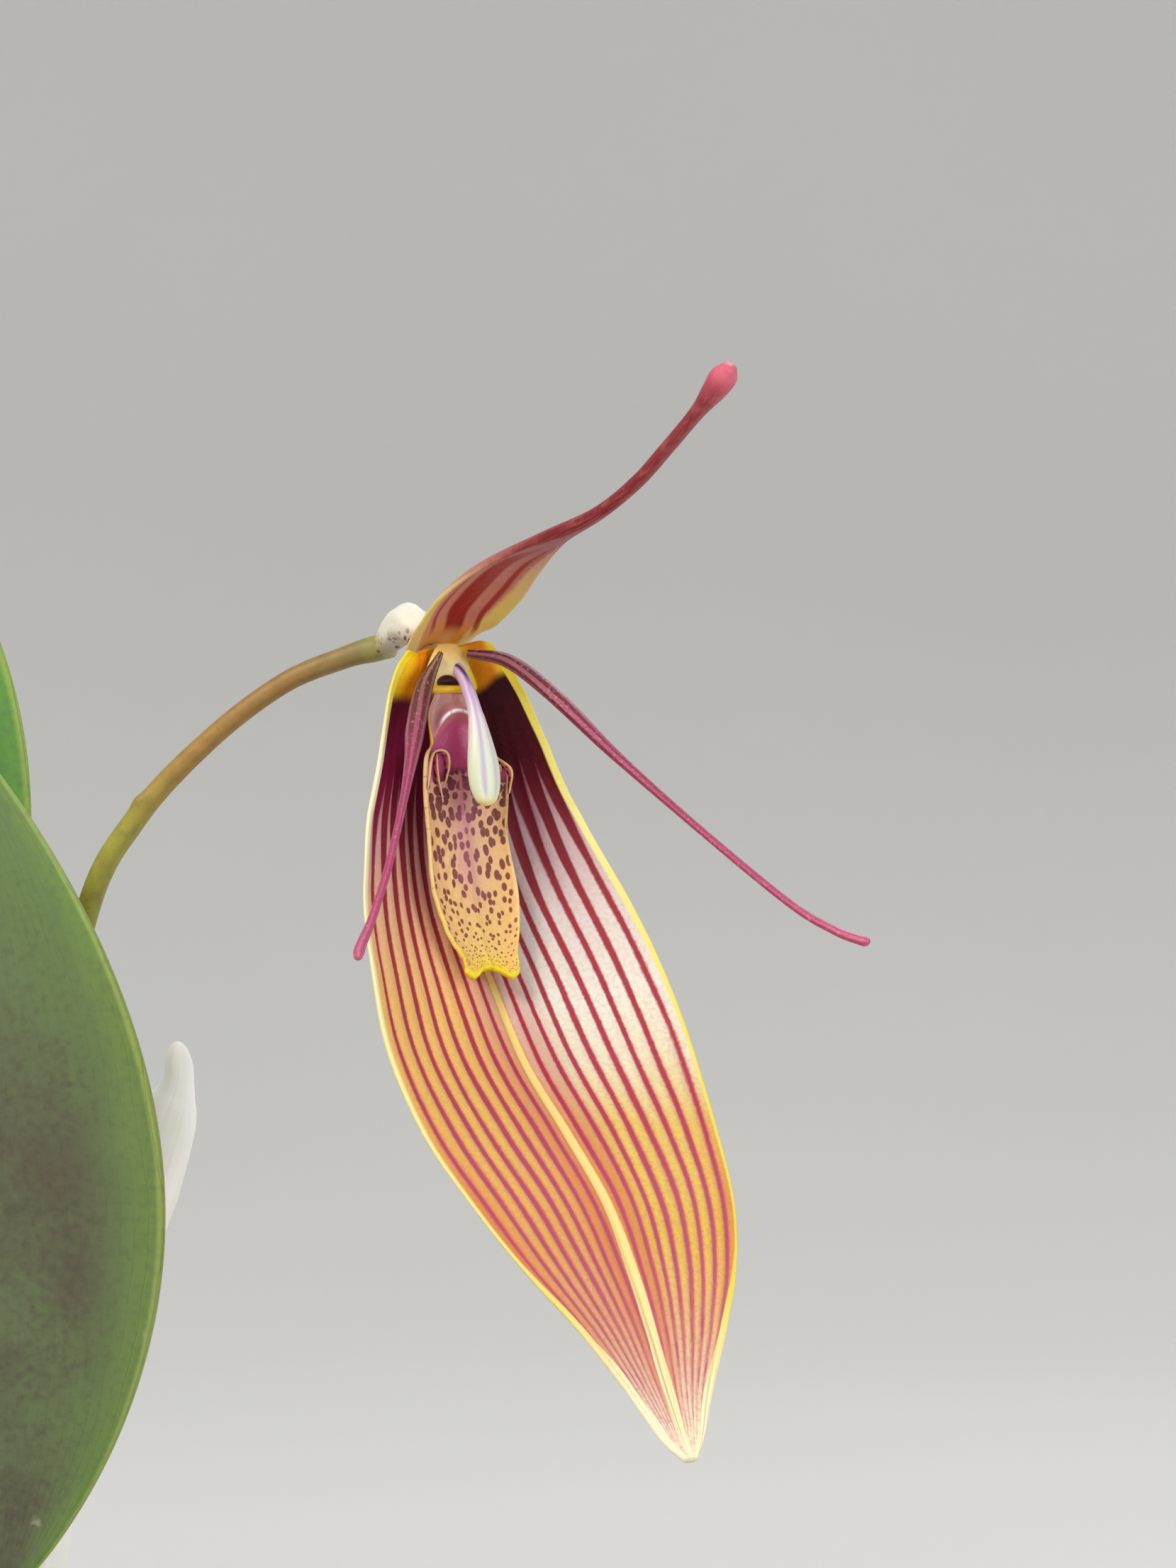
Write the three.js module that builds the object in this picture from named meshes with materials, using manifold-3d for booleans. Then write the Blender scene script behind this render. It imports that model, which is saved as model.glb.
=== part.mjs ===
// A tufted orchid in a plain clay pot: twelve leafy stems and one young shoot rise from a
// creeping rhizome in bark, and one flower hangs out on its stalk beside the front leaf.
// Millimetres, +Z up, origin at the middle of the pot's underside, viewer on the -Y side.
import * as THREE from "three";
import { mergeVertices } from "three/addons/utils/BufferGeometryUtils.js";
import Module from "manifold-3d";

const wasm = await Module();
wasm.setup();

// Clearance between two pieces that touch.
const GAP = 0.3;
// Half the thickness of the thinnest blade.
const HALF_BLADE = 0.32;
// Sides of the round stalks and of the thread-like ones.
const ROUND_SIDES = 8;
const THREAD_SIDES = 6;
// Evenly spaced places along a stem or a leaf.
const EVEN_MARKS = [0, 0.2, 0.4, 0.6, 0.8, 1];

const POT = {
  height: 72,
  rimRadius: 40,
  rimHeight: 14,
  shoulderRadius: 36.5,
  footRadius: 27,
  mouthRadius: 36,
  wellRadius: 23.5,
  floor: 5,
  edge: 1.2,
  holes: 5,
  holeRadius: 2,
  holeRing: 14,
  holeSides: 12,
  sides: 36,
};

const BARK = {
  edgeHeight: 61.5,
  crownHeight: 64.5,
  chips: 32,
  length: [6, 11],
  breadth: [4, 7],
  depth: [2.4, 4],
  jitter: 0.22,
  tilt: 0.55,
  lift: 0.5,
  innerRing: 11,
  outerRing: 33,
  crowding: 0.7,
  seed: 11,
};

// The rhizome creeps just above the bark and swells where each stem stands on it.
const RHIZOME = {
  height: 65,
  radius: 2.1,
  swelling: 0.8,
  socketDepth: 2.6,
  sides: 6,
  ringsPerSpan: 4,
  outerWay: [
    [-6, -4],
    [-8, 0],
    [-6, 4],
    [-2, 7.5],
    [4, 8],
    [8.5, 5.5],
    [10.5, 1],
    [7.5, -3.5],
    [3, -4.5],
    [-1, -7.5],
  ],
  innerWay: [[-8, 0], [-3.2, 2.6], [1, 3.4], [5.5, 1.5], [7.5, -3.5]],
};

// Height of the stems' feet, just above the floor of the spaces cut for them in the rhizome.
const FOOT_HEIGHT = RHIZOME.height - RHIZOME.socketDepth + 2 * GAP;

// Each root leaves the rhizome, arches over the bark and dives into it: how far along its reach
// it passes each height above or below the rhizome's middle.
const ROOTS = {
  count: 8,
  radius: 0.8,
  reach: [20, 27.5],
  stretch: [0.28, 0.5, 0.75, 0.92, 1],
  lift: [0, 3.4, 2.5, -0.6, -6],
  bend: 0.25,
  firstTurn: 0.3,
  scatter: 0.5,
  rings: 7,
  sides: 5,
  seed: 5,
};

// The leafy stems: where each stands, where its leaf begins, where the leaf ends, the half width
// of the leaf, the way its upper face looks, and how far it bows away from that face.
const STEMS = [
  [[3, -4.5], [5, -6, 127], [2.7, -10.5, 175.3], 9.6, [0, -1, 0.08], -1.5],
  [[1, 3.4], [0.8, 8, 148], [-11.5, 12, 197], 10.2, [0.1, -1, 0.3], -2],
  [[-6, -4], [-15, -14, 104], [-27, -22, 147], 9.2, [0.75, 0.1, 0.9], 3],
  [[-6, 4], [-18, 11, 118], [-37, 16, 156], 9.8, [0.7, -0.5, 0.8], 3],
  [[-8, 0], [-25, -2, 92], [-46, -6, 122], 8.6, [0.4, 0.3, 1], 4],
  [[7.5, -3.5], [17, -14, 84], [31, -24, 117], 8.8, [-0.3, 0.5, 1], 4],
  [[10.5, 1], [25, 2, 90], [44, 5, 122], 9, [-0.7, -0.4, 0.8], 3],
  [[4, 8], [11, 20, 94], [20, 34, 127], 9.4, [-0.3, -0.9, 0.7], 3],
  [[-2, 7.5], [-7, 20, 108], [-14, 32, 149], 9.2, [0.6, -0.7, 0.6], 3],
  [[-1, -7.5], [-4, -19, 82], [-2, -35, 115], 8.4, [0.3, 0.6, 1], 3],
  [[-3.2, 2.6], [-11, 1, 132], [-23, -5, 177], 9.4, [0.9, -0.5, 0.4], 2.5],
  [[8.5, 5.5], [21, 14, 82], [36, 22, 112], 8.4, [-0.6, -0.2, 0.9], 3],
].map(([foot, apex, tip, halfWidth, face, bow]) => ({ foot, apex, tip, halfWidth, face, bow }));

const STEM = {
  radius: 1.15,
  mouth: 1.75,
  apex: 1.3,
  sheathLength: 12,
  firstMouth: 10,
  lastMouth: 2.2,
  slant: 1.1,
  turn: 2.4,
  step: 0.7,
  sides: 7,
  lean: 1.6,
  spaceLength: 12,
  spaceFlare: 2.2,
};
const LEAF = {
  seat: 0.4,
  petiole: 0.1,
  petioleWidth: 0.95,
  petioleThick: 0.8,
  halfThick: 0.42,
  rim: 0.12,
  fold: 0.13,
  skew: 0.93,
  fullness: 0.8,
  end: 0.985,
  rows: 11,
  columns: 4,
};

// Places and radii of the young shoot, wrapped in its pale sheaths: [x, y, z, radius].
const SHOOT = [
  [5.5, 1.5, 63.2, 1.15],
  [5.6, 1.6, 78, 1.75],
  [5.6, 1.6, 78.6, 1.4],
  [5.6, 1.8, 97, 1.85],
  [5.6, 1.8, 97.6, 1.5],
  [5.7, 2, 118, 1.95],
  [5.7, 2, 118.6, 1.55],
  [6.2, 2, 133, 1.7],
  [7.4, 2, 140, 1.85],
  [9.5, 2, 146.8, 1.95],
  [11.5, 2, 151.8, 1.85],
  [12.7, 2, 154.8, 1.6],
  [13.2, 2, 157, 1],
  [13.4, 2, 158.9, 0.3],
];

// The flower stalk rises behind the front leaf out of a short bract and arches to the flower.
const PEDICEL = [
  [5.7, -3.1, 122.5, 0.95],
  [5.8, -3, 128.6, 0.9],
  [5.9, -3, 129.4, 0.46],
  [6.3, -3.4, 141, 0.45],
  [7.2, -4.2, 154, 0.44],
  [9.4, -5.6, 165.5, 0.44],
  [11.9, -6.4, 170.3, 0.46],
  [12.1, -6.5, 170.5, 0.58],
  [12.6, -6.6, 171.1, 0.44],
  [15.6, -7.3, 174.2, 0.43],
  [19.2, -7.9, 176.9, 0.43],
  [22.2, -8.4, 178.15, 0.44],
  [23.6, -8.7, 178.5, 0.5],
];

// The flower has its own frame: x to its right, -y forward, z up, turned to the viewer's right.
const FLOWER = { place: [27.2, -14, 177.7], turn: 32 };

// Ovary along its bend, in the flower's middle plane: [forward, up, radius].
const OVARY = [
  [-5.9, 0.95, 0.55],
  [-5.1, 1.5, 0.85],
  [-4.1, 2.25, 0.98],
  [-3, 2.25, 0.95],
  [-2.1, 1.45, 0.75],
  [-1, 0.5, 0.6],
];

// Two side sepals grown into one broad tongue: [forward, up, half width, cupping].
const SYNSEPAL = {
  stations: [
    [-0.05, 0.85, 2.35, 0.5],
    [-0.15, 0, 3.05, 1],
    [-0.2, -1.6, 3.85, 1.5],
    [-0.15, -4.1, 4.7, 2.05],
    [0.2, -7.7, 5.85, 2.65],
    [1.6, -11.5, 6.85, 3.1],
    [4.3, -15.2, 7.8, 2.6],
    [7.2, -18.8, 8.3, 1.8],
    [10.9, -21.9, 8, 0.6],
    [14.3, -24.9, 7, 0.1],
    [16.5, -27.9, 5.6, 0.2],
    [18.1, -30.5, 4, 0.4],
    [19.5, -33.1, 2.35, 0.4],
    [20.8, -35.2, 1.1, 0.2],
    [21.5, -36, 0.35, 0.05],
  ],
  face: [0, -1, 0.75],
  rows: 20,
  columns: 10,
};

// Top sepal, a narrow blade drawn out into a thread with a clubbed end:
// [forward, up, half width, cupping, half thickness].
const DORSAL = {
  stations: [
    [-0.6, 1.4, 1.55, 0.3, 0.32],
    [0.8, 2.5, 2.05, 0.5, 0.32],
    [2.9, 3.75, 2.2, 0.55, 0.32],
    [5.5, 4.85, 1.75, 0.4, 0.32],
    [9.7, 5.75, 0.8, 0.1, 0.36],
    [13.7, 6.7, 0.38, 0, 0.32],
    [17, 8, 0.36, 0, 0.3],
    [19.5, 9.4, 0.36, 0, 0.3],
    [22, 10.9, 0.38, 0, 0.32],
    [23.4, 11.8, 0.58, 0, 0.5],
    [24.2, 12.4, 0.64, 0, 0.58],
    [24.7, 12.8, 0.36, 0, 0.32],
  ],
  face: [0, -0.7, -1],
  rows: 22,
  columns: 4,
};

// The two thread-like petals with clubbed ends: [right, forward, up, half width, half thickness].
const PETALS = {
  petal_right: [
    [0.85, 1.35, 0.5, 0.3, 0.3],
    [2.2, 2.45, 0.1, 0.42, 0.34],
    [3.7, 4.05, -1.6, 0.44, 0.34],
    [5.5, 6.7, -4.45, 0.32, 0.3],
    [8.1, 10.25, -8.05, 0.3, 0.3],
    [10.6, 13.7, -11.3, 0.3, 0.3],
    [11.9, 15.4, -12.5, 0.36, 0.34],
    [12.6, 16.5, -12.95, 0.38, 0.36],
    [12.9, 16.9, -13.05, 0.2, 0.2],
  ],
  petal_left: [
    [-1.1, 1.35, 0.4, 0.3, 0.3],
    [-2.3, 1.95, -1.1, 0.42, 0.34],
    [-3.75, 3.6, -3, 0.44, 0.34],
    [-5.1, 5.45, -4.6, 0.36, 0.32],
    [-7, 7.8, -7, 0.3, 0.3],
    [-9, 10.05, -9.5, 0.3, 0.3],
    [-11, 12.1, -11.7, 0.32, 0.3],
    [-12.5, 13.6, -13, 0.38, 0.36],
    [-13.05, 14.3, -13.5, 0.2, 0.2],
  ],
};
const PETAL_RINGS = 16;

// Fiddle-shaped lip with raised margins: [right, forward, up, half width, cupping].
const LIP = {
  stations: [
    [-0.1, 1.35, -1.75, 0.9, -0.2],
    [-0.2, 1.6, -2.5, 1.45, -0.2],
    [-0.2, 1.8, -4, 1.65, 0.1],
    [-0.3, 1.95, -5, 2.35, 0.7],
    [-0.3, 2.1, -6.3, 2.35, 0.5],
    [-0.35, 2.45, -8.3, 2.2, 0.25],
    [-0.5, 3.2, -10.9, 2.35, 0.3],
    [-0.65, 4.2, -12.9, 2, 0.25],
    [-0.7, 5, -14, 1.55, 0.2],
    [-0.75, 5.5, -14.6, 1.5, 0.15],
  ],
  face: [0, -1, 0.3],
  notch: 0.35,
  notchEase: 12,
  rows: 18,
  columns: 6,
};

// Club-shaped column on its broad foot: [forward, up, half width, half depth].
const COLUMN = {
  club: [
    [0.9, -0.2, 0.34, 0.34],
    [1.4, -0.6, 0.3, 0.3],
    [2, -1.5, 0.3, 0.3],
    [2.7, -2.3, 0.34, 0.32],
    [3.35, -3.25, 0.5, 0.42],
    [3.85, -4.6, 0.7, 0.5],
    [4.1, -5.7, 0.72, 0.48],
    [4.25, -6.45, 0.5, 0.36],
    [4.3, -6.7, 0.2, 0.16],
  ],
  foot: [
    [0.85, 0.75, 0.34, 0.2],
    [0.9, 0.4, 0.48, 0.28],
    [0.95, -0.4, 1.05, 0.32],
    [1, -1, 1.2, 0.34],
    [1.05, -1.35, 0.9, 0.26],
  ],
  moreRings: 2,
};

const CLAY = new THREE.MeshStandardMaterial({ color: 0xb5603a, roughness: 0.9, metalness: 0 });
const BARK_BROWN = new THREE.MeshStandardMaterial({ color: 0x5a3a24, roughness: 0.95, metalness: 0 });
const ROOT_GREY = new THREE.MeshStandardMaterial({ color: 0x8f8a66, roughness: 0.8, metalness: 0 });
const SHEATH_TAN = new THREE.MeshStandardMaterial({ color: 0xc4b58c, roughness: 0.85, metalness: 0 });
const PAPER_WHITE = new THREE.MeshStandardMaterial({ color: 0xe6e6e0, roughness: 0.8, metalness: 0 });
const LEAF_GREEN = new THREE.MeshStandardMaterial({ color: 0x3f6b2c, roughness: 0.5, metalness: 0 });
const STALK_OLIVE = new THREE.MeshStandardMaterial({ color: 0x7d7434, roughness: 0.6, metalness: 0 });
const CREAM = new THREE.MeshStandardMaterial({ color: 0xe6ddb0, roughness: 0.6, metalness: 0 });
const STRIPED_RED = new THREE.MeshStandardMaterial({ color: 0xb0504a, roughness: 0.45, metalness: 0 });
const THREAD_PINK = new THREE.MeshStandardMaterial({ color: 0x9c2a4c, roughness: 0.5, metalness: 0 });
const LIP_BUFF = new THREE.MeshStandardMaterial({ color: 0xcf9a6a, roughness: 0.5, metalness: 0 });

// Random numbers from 0 to 1 that are the same on each run.
function seeded(seed) {
  let state = seed;
  return () => {
    state = (state * 1664525 + 1013904223) % 4294967296;
    return state / 4294967296;
  };
}

const between = ([low, high], share) => low + (high - low) * share;

// A random number from -limit to limit.
const swing = (limit, random) => limit * (2 * random() - 1);

// A smooth curve through a list of triples.
function smooth(triples) {
  const points = triples.map((triple) => new THREE.Vector3(...triple));
  return new THREE.CatmullRomCurve3(points, false, "catmullrom", 0.5);
}

// The cross axes of a piece at one place on its path: along, across and up, its face side.
function axesAt(path, t, face) {
  const along = path.getTangent(t);
  const across = new THREE.Vector3().crossVectors(along, face).normalize();
  const up = new THREE.Vector3().crossVectors(across, along);
  return { along, across, up };
}

function indexedGeometry(points, indices) {
  const geometry = new THREE.BufferGeometry().setFromPoints(points);
  geometry.setIndex(indices);
  geometry.computeVertexNormals();
  return geometry;
}

// A closed blade: rows along a path, each with a half width, a cupping towards its face and a
// half thickness, held in the x, y and z of girth. Both faces are split into triangles alike.
function bladeGeometry({ path, girth, face, rows, columns, lobe = () => 0 }) {
  const front = [];
  const back = [];
  for (let row = 0; row <= rows; row++) {
    const t = row / rows;
    const { along, across, up } = axesAt(path, t, face);
    const centre = path.getPoint(t);
    const { x: halfWidth, y: cupping, z: halfThick } = girth.getPoint(t);
    for (let column = 0; column <= columns; column++) {
      const u = (2 * column) / columns - 1;
      const middle = centre.clone();
      middle.addScaledVector(across, halfWidth * u);
      middle.addScaledVector(up, cupping * u * u);
      middle.addScaledVector(along, lobe(t, u));
      front.push(middle.clone().addScaledVector(up, halfThick));
      back.push(middle.clone().addScaledVector(up, -halfThick));
    }
  }
  const at = (row, column) => row * (columns + 1) + column;
  const under = front.length;
  const indices = [];
  const quad = (a, b, c, d) => indices.push(a, b, c, a, c, d);
  for (let row = 0; row < rows; row++) {
    for (let column = 0; column < columns; column++) {
      const [a, b] = [at(row, column), at(row, column + 1)];
      const [c, d] = [at(row + 1, column + 1), at(row + 1, column)];
      quad(a, b, c, d);
      indices.push(a + under, c + under, b + under, a + under, d + under, c + under);
    }
    const [left, leftNext] = [at(row, 0), at(row + 1, 0)];
    const [right, rightNext] = [at(row, columns), at(row + 1, columns)];
    quad(left, leftNext, leftNext + under, left + under);
    quad(right, right + under, rightNext + under, rightNext);
  }
  for (let column = 0; column < columns; column++) {
    const [first, second] = [at(0, column), at(0, column + 1)];
    const [last, beforeLast] = [at(rows, column), at(rows, column + 1)];
    quad(first, first + under, second + under, second);
    quad(last, beforeLast, beforeLast + under, last + under);
  }
  return indexedGeometry([...front, ...back], indices);
}

// A closed tube of oval rings. Each ring has its place t on the path, its half width and half
// depth, and a slant that tips it along the path towards the turn angle.
function ringTubeGeometry({ path, face, rings, sides }) {
  const points = [];
  for (const { t, halfWidth, halfDepth = halfWidth, slant = 0, turn = 0 } of rings) {
    const { along, across, up } = axesAt(path, t, face);
    for (let side = 0; side < sides; side++) {
      const angle = (2 * Math.PI * side) / sides;
      const point = path.getPoint(t);
      point.addScaledVector(across, halfWidth * Math.cos(angle));
      point.addScaledVector(up, halfDepth * Math.sin(angle));
      point.addScaledVector(along, slant * Math.cos(angle - turn));
      points.push(point);
    }
  }
  const indices = [];
  for (let ring = 0; ring < rings.length - 1; ring++) {
    for (let side = 0; side < sides; side++) {
      const a = ring * sides + side;
      const b = ring * sides + ((side + 1) % sides);
      indices.push(a, a + sides, b + sides, a, b + sides, b);
    }
  }
  const bottom = points.push(path.getPoint(rings[0].t)) - 1;
  const top = points.push(path.getPoint(rings.at(-1).t)) - 1;
  const lastRing = (rings.length - 1) * sides;
  for (let side = 0; side < sides; side++) {
    const next = (side + 1) % sides;
    indices.push(bottom, side, next);
    indices.push(top, lastRing + next, lastRing + side);
  }
  return indexedGeometry(points, indices);
}

// A tube whose half width and half depth follow a second curve, held in its x and y.
function stalkGeometry({ path, girth, face, rings, sides }) {
  const list = Array.from({ length: rings + 1 }, (_, ring) => {
    const { x: halfWidth, y: halfDepth } = girth.getPoint(ring / rings);
    return { t: ring / rings, halfWidth, halfDepth };
  });
  return ringTubeGeometry({ path, face, rings: list, sides });
}

// A closed geometry as a solid that can be joined and cut.
function solidOf(geometry) {
  const bare = new THREE.BufferGeometry();
  const loose = geometry.index ? geometry.toNonIndexed() : geometry;
  bare.setAttribute("position", loose.getAttribute("position"));
  const merged = mergeVertices(bare, 1e-4);
  const triangles = [];
  for (let i = 0; i < merged.index.count; i += 3) {
    const [a, b, c] = [0, 1, 2].map((corner) => merged.index.getX(i + corner));
    if (a !== b && b !== c && a !== c) triangles.push(a, b, c);
  }
  const vertProperties = new Float32Array(merged.getAttribute("position").array);
  const triVerts = new Uint32Array(triangles);
  return new wasm.Manifold(new wasm.Mesh({ numProp: 3, vertProperties, triVerts }));
}

// The largest single body of a solid, as a geometry.
function geometryOf(solid) {
  const [largest] = solid.decompose().sort((a, b) => b.volume() - a.volume());
  const mesh = largest.getMesh();
  const geometry = new THREE.BufferGeometry();
  geometry.setAttribute("position", new THREE.BufferAttribute(mesh.vertProperties, mesh.numProp));
  geometry.setIndex(new THREE.BufferAttribute(mesh.triVerts, 1));
  geometry.computeVertexNormals();
  return geometry;
}

const joined = (solids) => solids.reduce((whole, solid) => whole.add(solid));

// An outline of [radius, height] points that starts and ends on the axis, turned about +Z.
function turnedSolid(outline) {
  const points = outline.map(([radius, height]) => new THREE.Vector2(radius, height));
  return solidOf(new THREE.LatheGeometry(points, POT.sides).rotateX(Math.PI / 2));
}

// Radius of the pot's inner wall at a height.
function wellRadiusAt(height) {
  const share = (height - POT.floor) / (POT.height - POT.floor);
  return between([POT.wellRadius, POT.mouthRadius], share);
}

function potGeometry() {
  const shoulder = POT.height - POT.rimHeight;
  const outline = [
    [0, 0],
    [POT.footRadius - POT.edge, 0],
    [POT.footRadius, POT.edge],
    [POT.shoulderRadius, shoulder],
    [POT.rimRadius - POT.edge, shoulder],
    [POT.rimRadius, shoulder + POT.edge],
    [POT.rimRadius, POT.height - POT.edge],
    [POT.rimRadius - POT.edge, POT.height],
    [POT.mouthRadius + POT.edge, POT.height],
    [wellRadiusAt(POT.height - POT.edge), POT.height - POT.edge],
    [POT.wellRadius, POT.floor],
    [0, POT.floor],
  ];
  let pot = turnedSolid(outline);
  for (let hole = 0; hole < POT.holes; hole++) {
    const angle = (2 * Math.PI * hole) / POT.holes;
    const { holeRadius: radius, floor, holeSides } = POT;
    const drill = new THREE.CylinderGeometry(radius, radius, 3 * floor, holeSides);
    drill.rotateX(Math.PI / 2);
    drill.translate(POT.holeRing * Math.cos(angle), POT.holeRing * Math.sin(angle), floor / 2);
    pot = pot.subtract(solidOf(drill));
  }
  return geometryOf(pot);
}

// Height of the bark's smooth crown under its chips.
function crownAt(radius) {
  const share = (radius / wellRadiusAt(BARK.edgeHeight)) ** 2;
  return between([BARK.crownHeight, BARK.edgeHeight], share);
}

// One broken piece of bark: a slab with its eight corners knocked about.
function chipGeometry(random) {
  const size = [BARK.length, BARK.breadth, BARK.depth].map((range) => between(range, random()));
  const slab = new THREE.BoxGeometry(...size);
  slab.deleteAttribute("normal");
  slab.deleteAttribute("uv");
  const chip = mergeVertices(slab, 1e-4);
  const corners = chip.getAttribute("position");
  for (let corner = 0; corner < corners.count; corner++) {
    const spot = new THREE.Vector3().fromBufferAttribute(corners, corner);
    const knocks = size.map((length) => swing(length * BARK.jitter, random));
    corners.setXYZ(corner, spot.x + knocks[0], spot.y + knocks[1], spot.z + knocks[2]);
  }
  chip.rotateX(swing(BARK.tilt, random));
  chip.rotateY(swing(BARK.tilt, random));
  chip.rotateZ(2 * Math.PI * random());
  return chip;
}

// Bark fills the pot up to a low crown, and its chips stand proud of the surface.
function barkGeometry() {
  const bottom = POT.floor + GAP;
  const rings = [1, 0.5, 0].map((share) => {
    const radius = share * (wellRadiusAt(BARK.edgeHeight) - GAP);
    return [radius, crownAt(radius)];
  });
  const plug = turnedSolid([[0, bottom], [wellRadiusAt(bottom) - GAP, bottom], ...rings]);
  const room = turnedSolid([
    [0, bottom],
    [wellRadiusAt(bottom) - GAP, bottom],
    [wellRadiusAt(POT.height) - GAP, POT.height],
    [0, POT.height],
  ]);
  const random = seeded(BARK.seed);
  const goldenAngle = Math.PI * (3 - Math.sqrt(5));
  const chips = Array.from({ length: BARK.chips }, (_, i) => {
    const spread = ((i + 0.5) / BARK.chips) ** BARK.crowding;
    const radius = between([BARK.innerRing, BARK.outerRing], spread);
    const angle = i * goldenAngle;
    const chip = chipGeometry(random);
    chip.translate(radius * Math.cos(angle), radius * Math.sin(angle), crownAt(radius) + BARK.lift);
    return solidOf(chip);
  });
  const filled = joined([plug, ...chips]).intersect(room);
  return geometryOf(filled.subtract(rhizomeSolid(GAP)).subtract(footSpaces()));
}

// One lumpy length of rhizome, a little fatter by the clearance.
function creeperSolid(way, clearance) {
  const path = smooth(way.map(([x, y]) => [x, y, RHIZOME.height]));
  const count = RHIZOME.ringsPerSpan * (way.length - 1);
  const rings = Array.from({ length: count + 1 }, (_, ring) => {
    const lump = (RHIZOME.swelling / 2) * Math.cos((2 * Math.PI * ring) / RHIZOME.ringsPerSpan);
    return { t: ring / count, halfWidth: RHIZOME.radius + lump + clearance };
  });
  const face = new THREE.Vector3(0, 0, 1);
  return solidOf(ringTubeGeometry({ path, face, rings, sides: RHIZOME.sides }));
}

// Roots leave the rhizome all round, arch over the chips and dive into the bark.
function rootSolids(clearance) {
  const random = seeded(ROOTS.seed);
  return Array.from({ length: ROOTS.count }, (_, root) => {
    const step = (2 * Math.PI) / ROOTS.count;
    const angle = ROOTS.firstTurn + step * (root + ROOTS.scatter * random());
    const reach = between(ROOTS.reach, random());
    const path = smooth(ROOTS.stretch.map((share, i) => {
      const bend = angle + ROOTS.bend * share * Math.sin(3 * angle);
      const radius = share * reach;
      return [radius * Math.cos(bend), radius * Math.sin(bend), RHIZOME.height + ROOTS.lift[i]];
    }));
    const face = new THREE.Vector3(-Math.sin(angle), Math.cos(angle), 0);
    const radius = ROOTS.radius + clearance;
    const girth = smooth([[radius, radius, 0], [radius, radius, 0]]);
    return solidOf(stalkGeometry({ path, girth, face, rings: ROOTS.rings, sides: ROOTS.sides }));
  });
}

function rhizomeSolid(clearance) {
  const creepers = [RHIZOME.outerWay, RHIZOME.innerWay].map((way) => creeperSolid(way, clearance));
  return joined([...creepers, ...rootSolids(clearance)]);
}

// Where each stem stands: a round space a little wider than the stem, opening upwards.
function footSpaces() {
  const feet = [...STEMS.map(({ foot }) => foot), SHOOT[0]];
  const { spaceLength: length, spaceFlare: flare, sides } = STEM;
  const radius = (STEM.radius + 2 * GAP) / Math.cos(Math.PI / sides);
  return joined(feet.map(([x, y]) => {
    const space = new THREE.CylinderGeometry(radius + flare, radius, length, sides);
    space.rotateX(Math.PI / 2);
    space.translate(x, y, FOOT_HEIGHT - GAP + length / 2);
    return solidOf(space);
  }));
}

// A slender stem wrapped in overlapping sheaths, each flaring to a slanting mouth.
function stemGeometry({ foot, apex }) {
  const path = smooth(EVEN_MARKS.map((share) => {
    const lean = share ** STEM.lean;
    const height = between([FOOT_HEIGHT, apex[2]], share);
    return [between([foot[0], apex[0]], lean), between([foot[1], apex[1]], lean), height];
  }));
  const rise = apex[2] - FOOT_HEIGHT;
  const sheaths = Math.round(rise / STEM.sheathLength);
  const mouths = [STEM.firstMouth / rise, 1 - STEM.lastMouth / rise];
  const rings = [0, mouths[0] / 2].map((t) => ({ t, halfWidth: STEM.radius }));
  for (let sheath = 0; sheath < sheaths; sheath++) {
    const t = between(mouths, sheath / (sheaths - 1));
    const turn = sheath * STEM.turn;
    rings.push({ t, halfWidth: STEM.mouth, slant: STEM.slant, turn });
    rings.push({ t: t + STEM.step / rise, halfWidth: STEM.radius, slant: STEM.slant, turn });
  }
  rings.push({ t: 1, halfWidth: STEM.apex });
  return ringTubeGeometry({ path, face: new THREE.Vector3(0, -1, 0), rings, sides: STEM.sides });
}

// A leathery leaf: a short grooved stalk that opens into an oval blade folded along its midrib.
function leafGeometry({ apex, tip, halfWidth, face, bow }) {
  const start = new THREE.Vector3(...apex);
  const end = new THREE.Vector3(...tip);
  const lean = end.clone().sub(start).normalize();
  start.addScaledVector(lean, LEAF.seat);
  const look = new THREE.Vector3(...face).projectOnPlane(lean).normalize();
  const path = smooth(EVEN_MARKS.map((share) => {
    const point = start.clone().lerp(end, share);
    return point.addScaledVector(look, -bow * Math.sin(Math.PI * share)).toArray();
  }));
  const girth = { getPoint: (t) => {
    const share = Math.max(0, (t - LEAF.petiole) / (1 - LEAF.petiole));
    const bulge = Math.sin(Math.PI * Math.min(share, LEAF.end) ** LEAF.skew);
    const swell = halfWidth * bulge ** LEAF.fullness;
    const stalk = Math.max(0, 1 - t / (2 * LEAF.petiole));
    return {
      x: Math.max(swell, LEAF.petioleWidth * (1 - share)) + LEAF.rim,
      y: LEAF.fold * swell,
      z: between([LEAF.halfThick, LEAF.petioleThick], stalk),
    };
  } };
  const { rows, columns } = LEAF;
  return bladeGeometry({ path, girth, face: look, rows, columns });
}

// A tube through [x, y, z, radius] rows, with a ring on each row.
function rowTubeGeometry(rowsOfTube, face, sides) {
  const path = smooth(rowsOfTube.map(([x, y, z]) => [x, y, z]));
  const last = rowsOfTube.length - 1;
  const rings = rowsOfTube.map(([, , , radius], i) => ({ t: i / last, halfWidth: radius }));
  return ringTubeGeometry({ path, face, rings, sides });
}

function ovaryGeometry() {
  const rows = OVARY.map(([forward, up, radius]) => [0, -forward, up, radius]);
  return rowTubeGeometry(rows, new THREE.Vector3(1, 0, 0), ROUND_SIDES);
}

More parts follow.
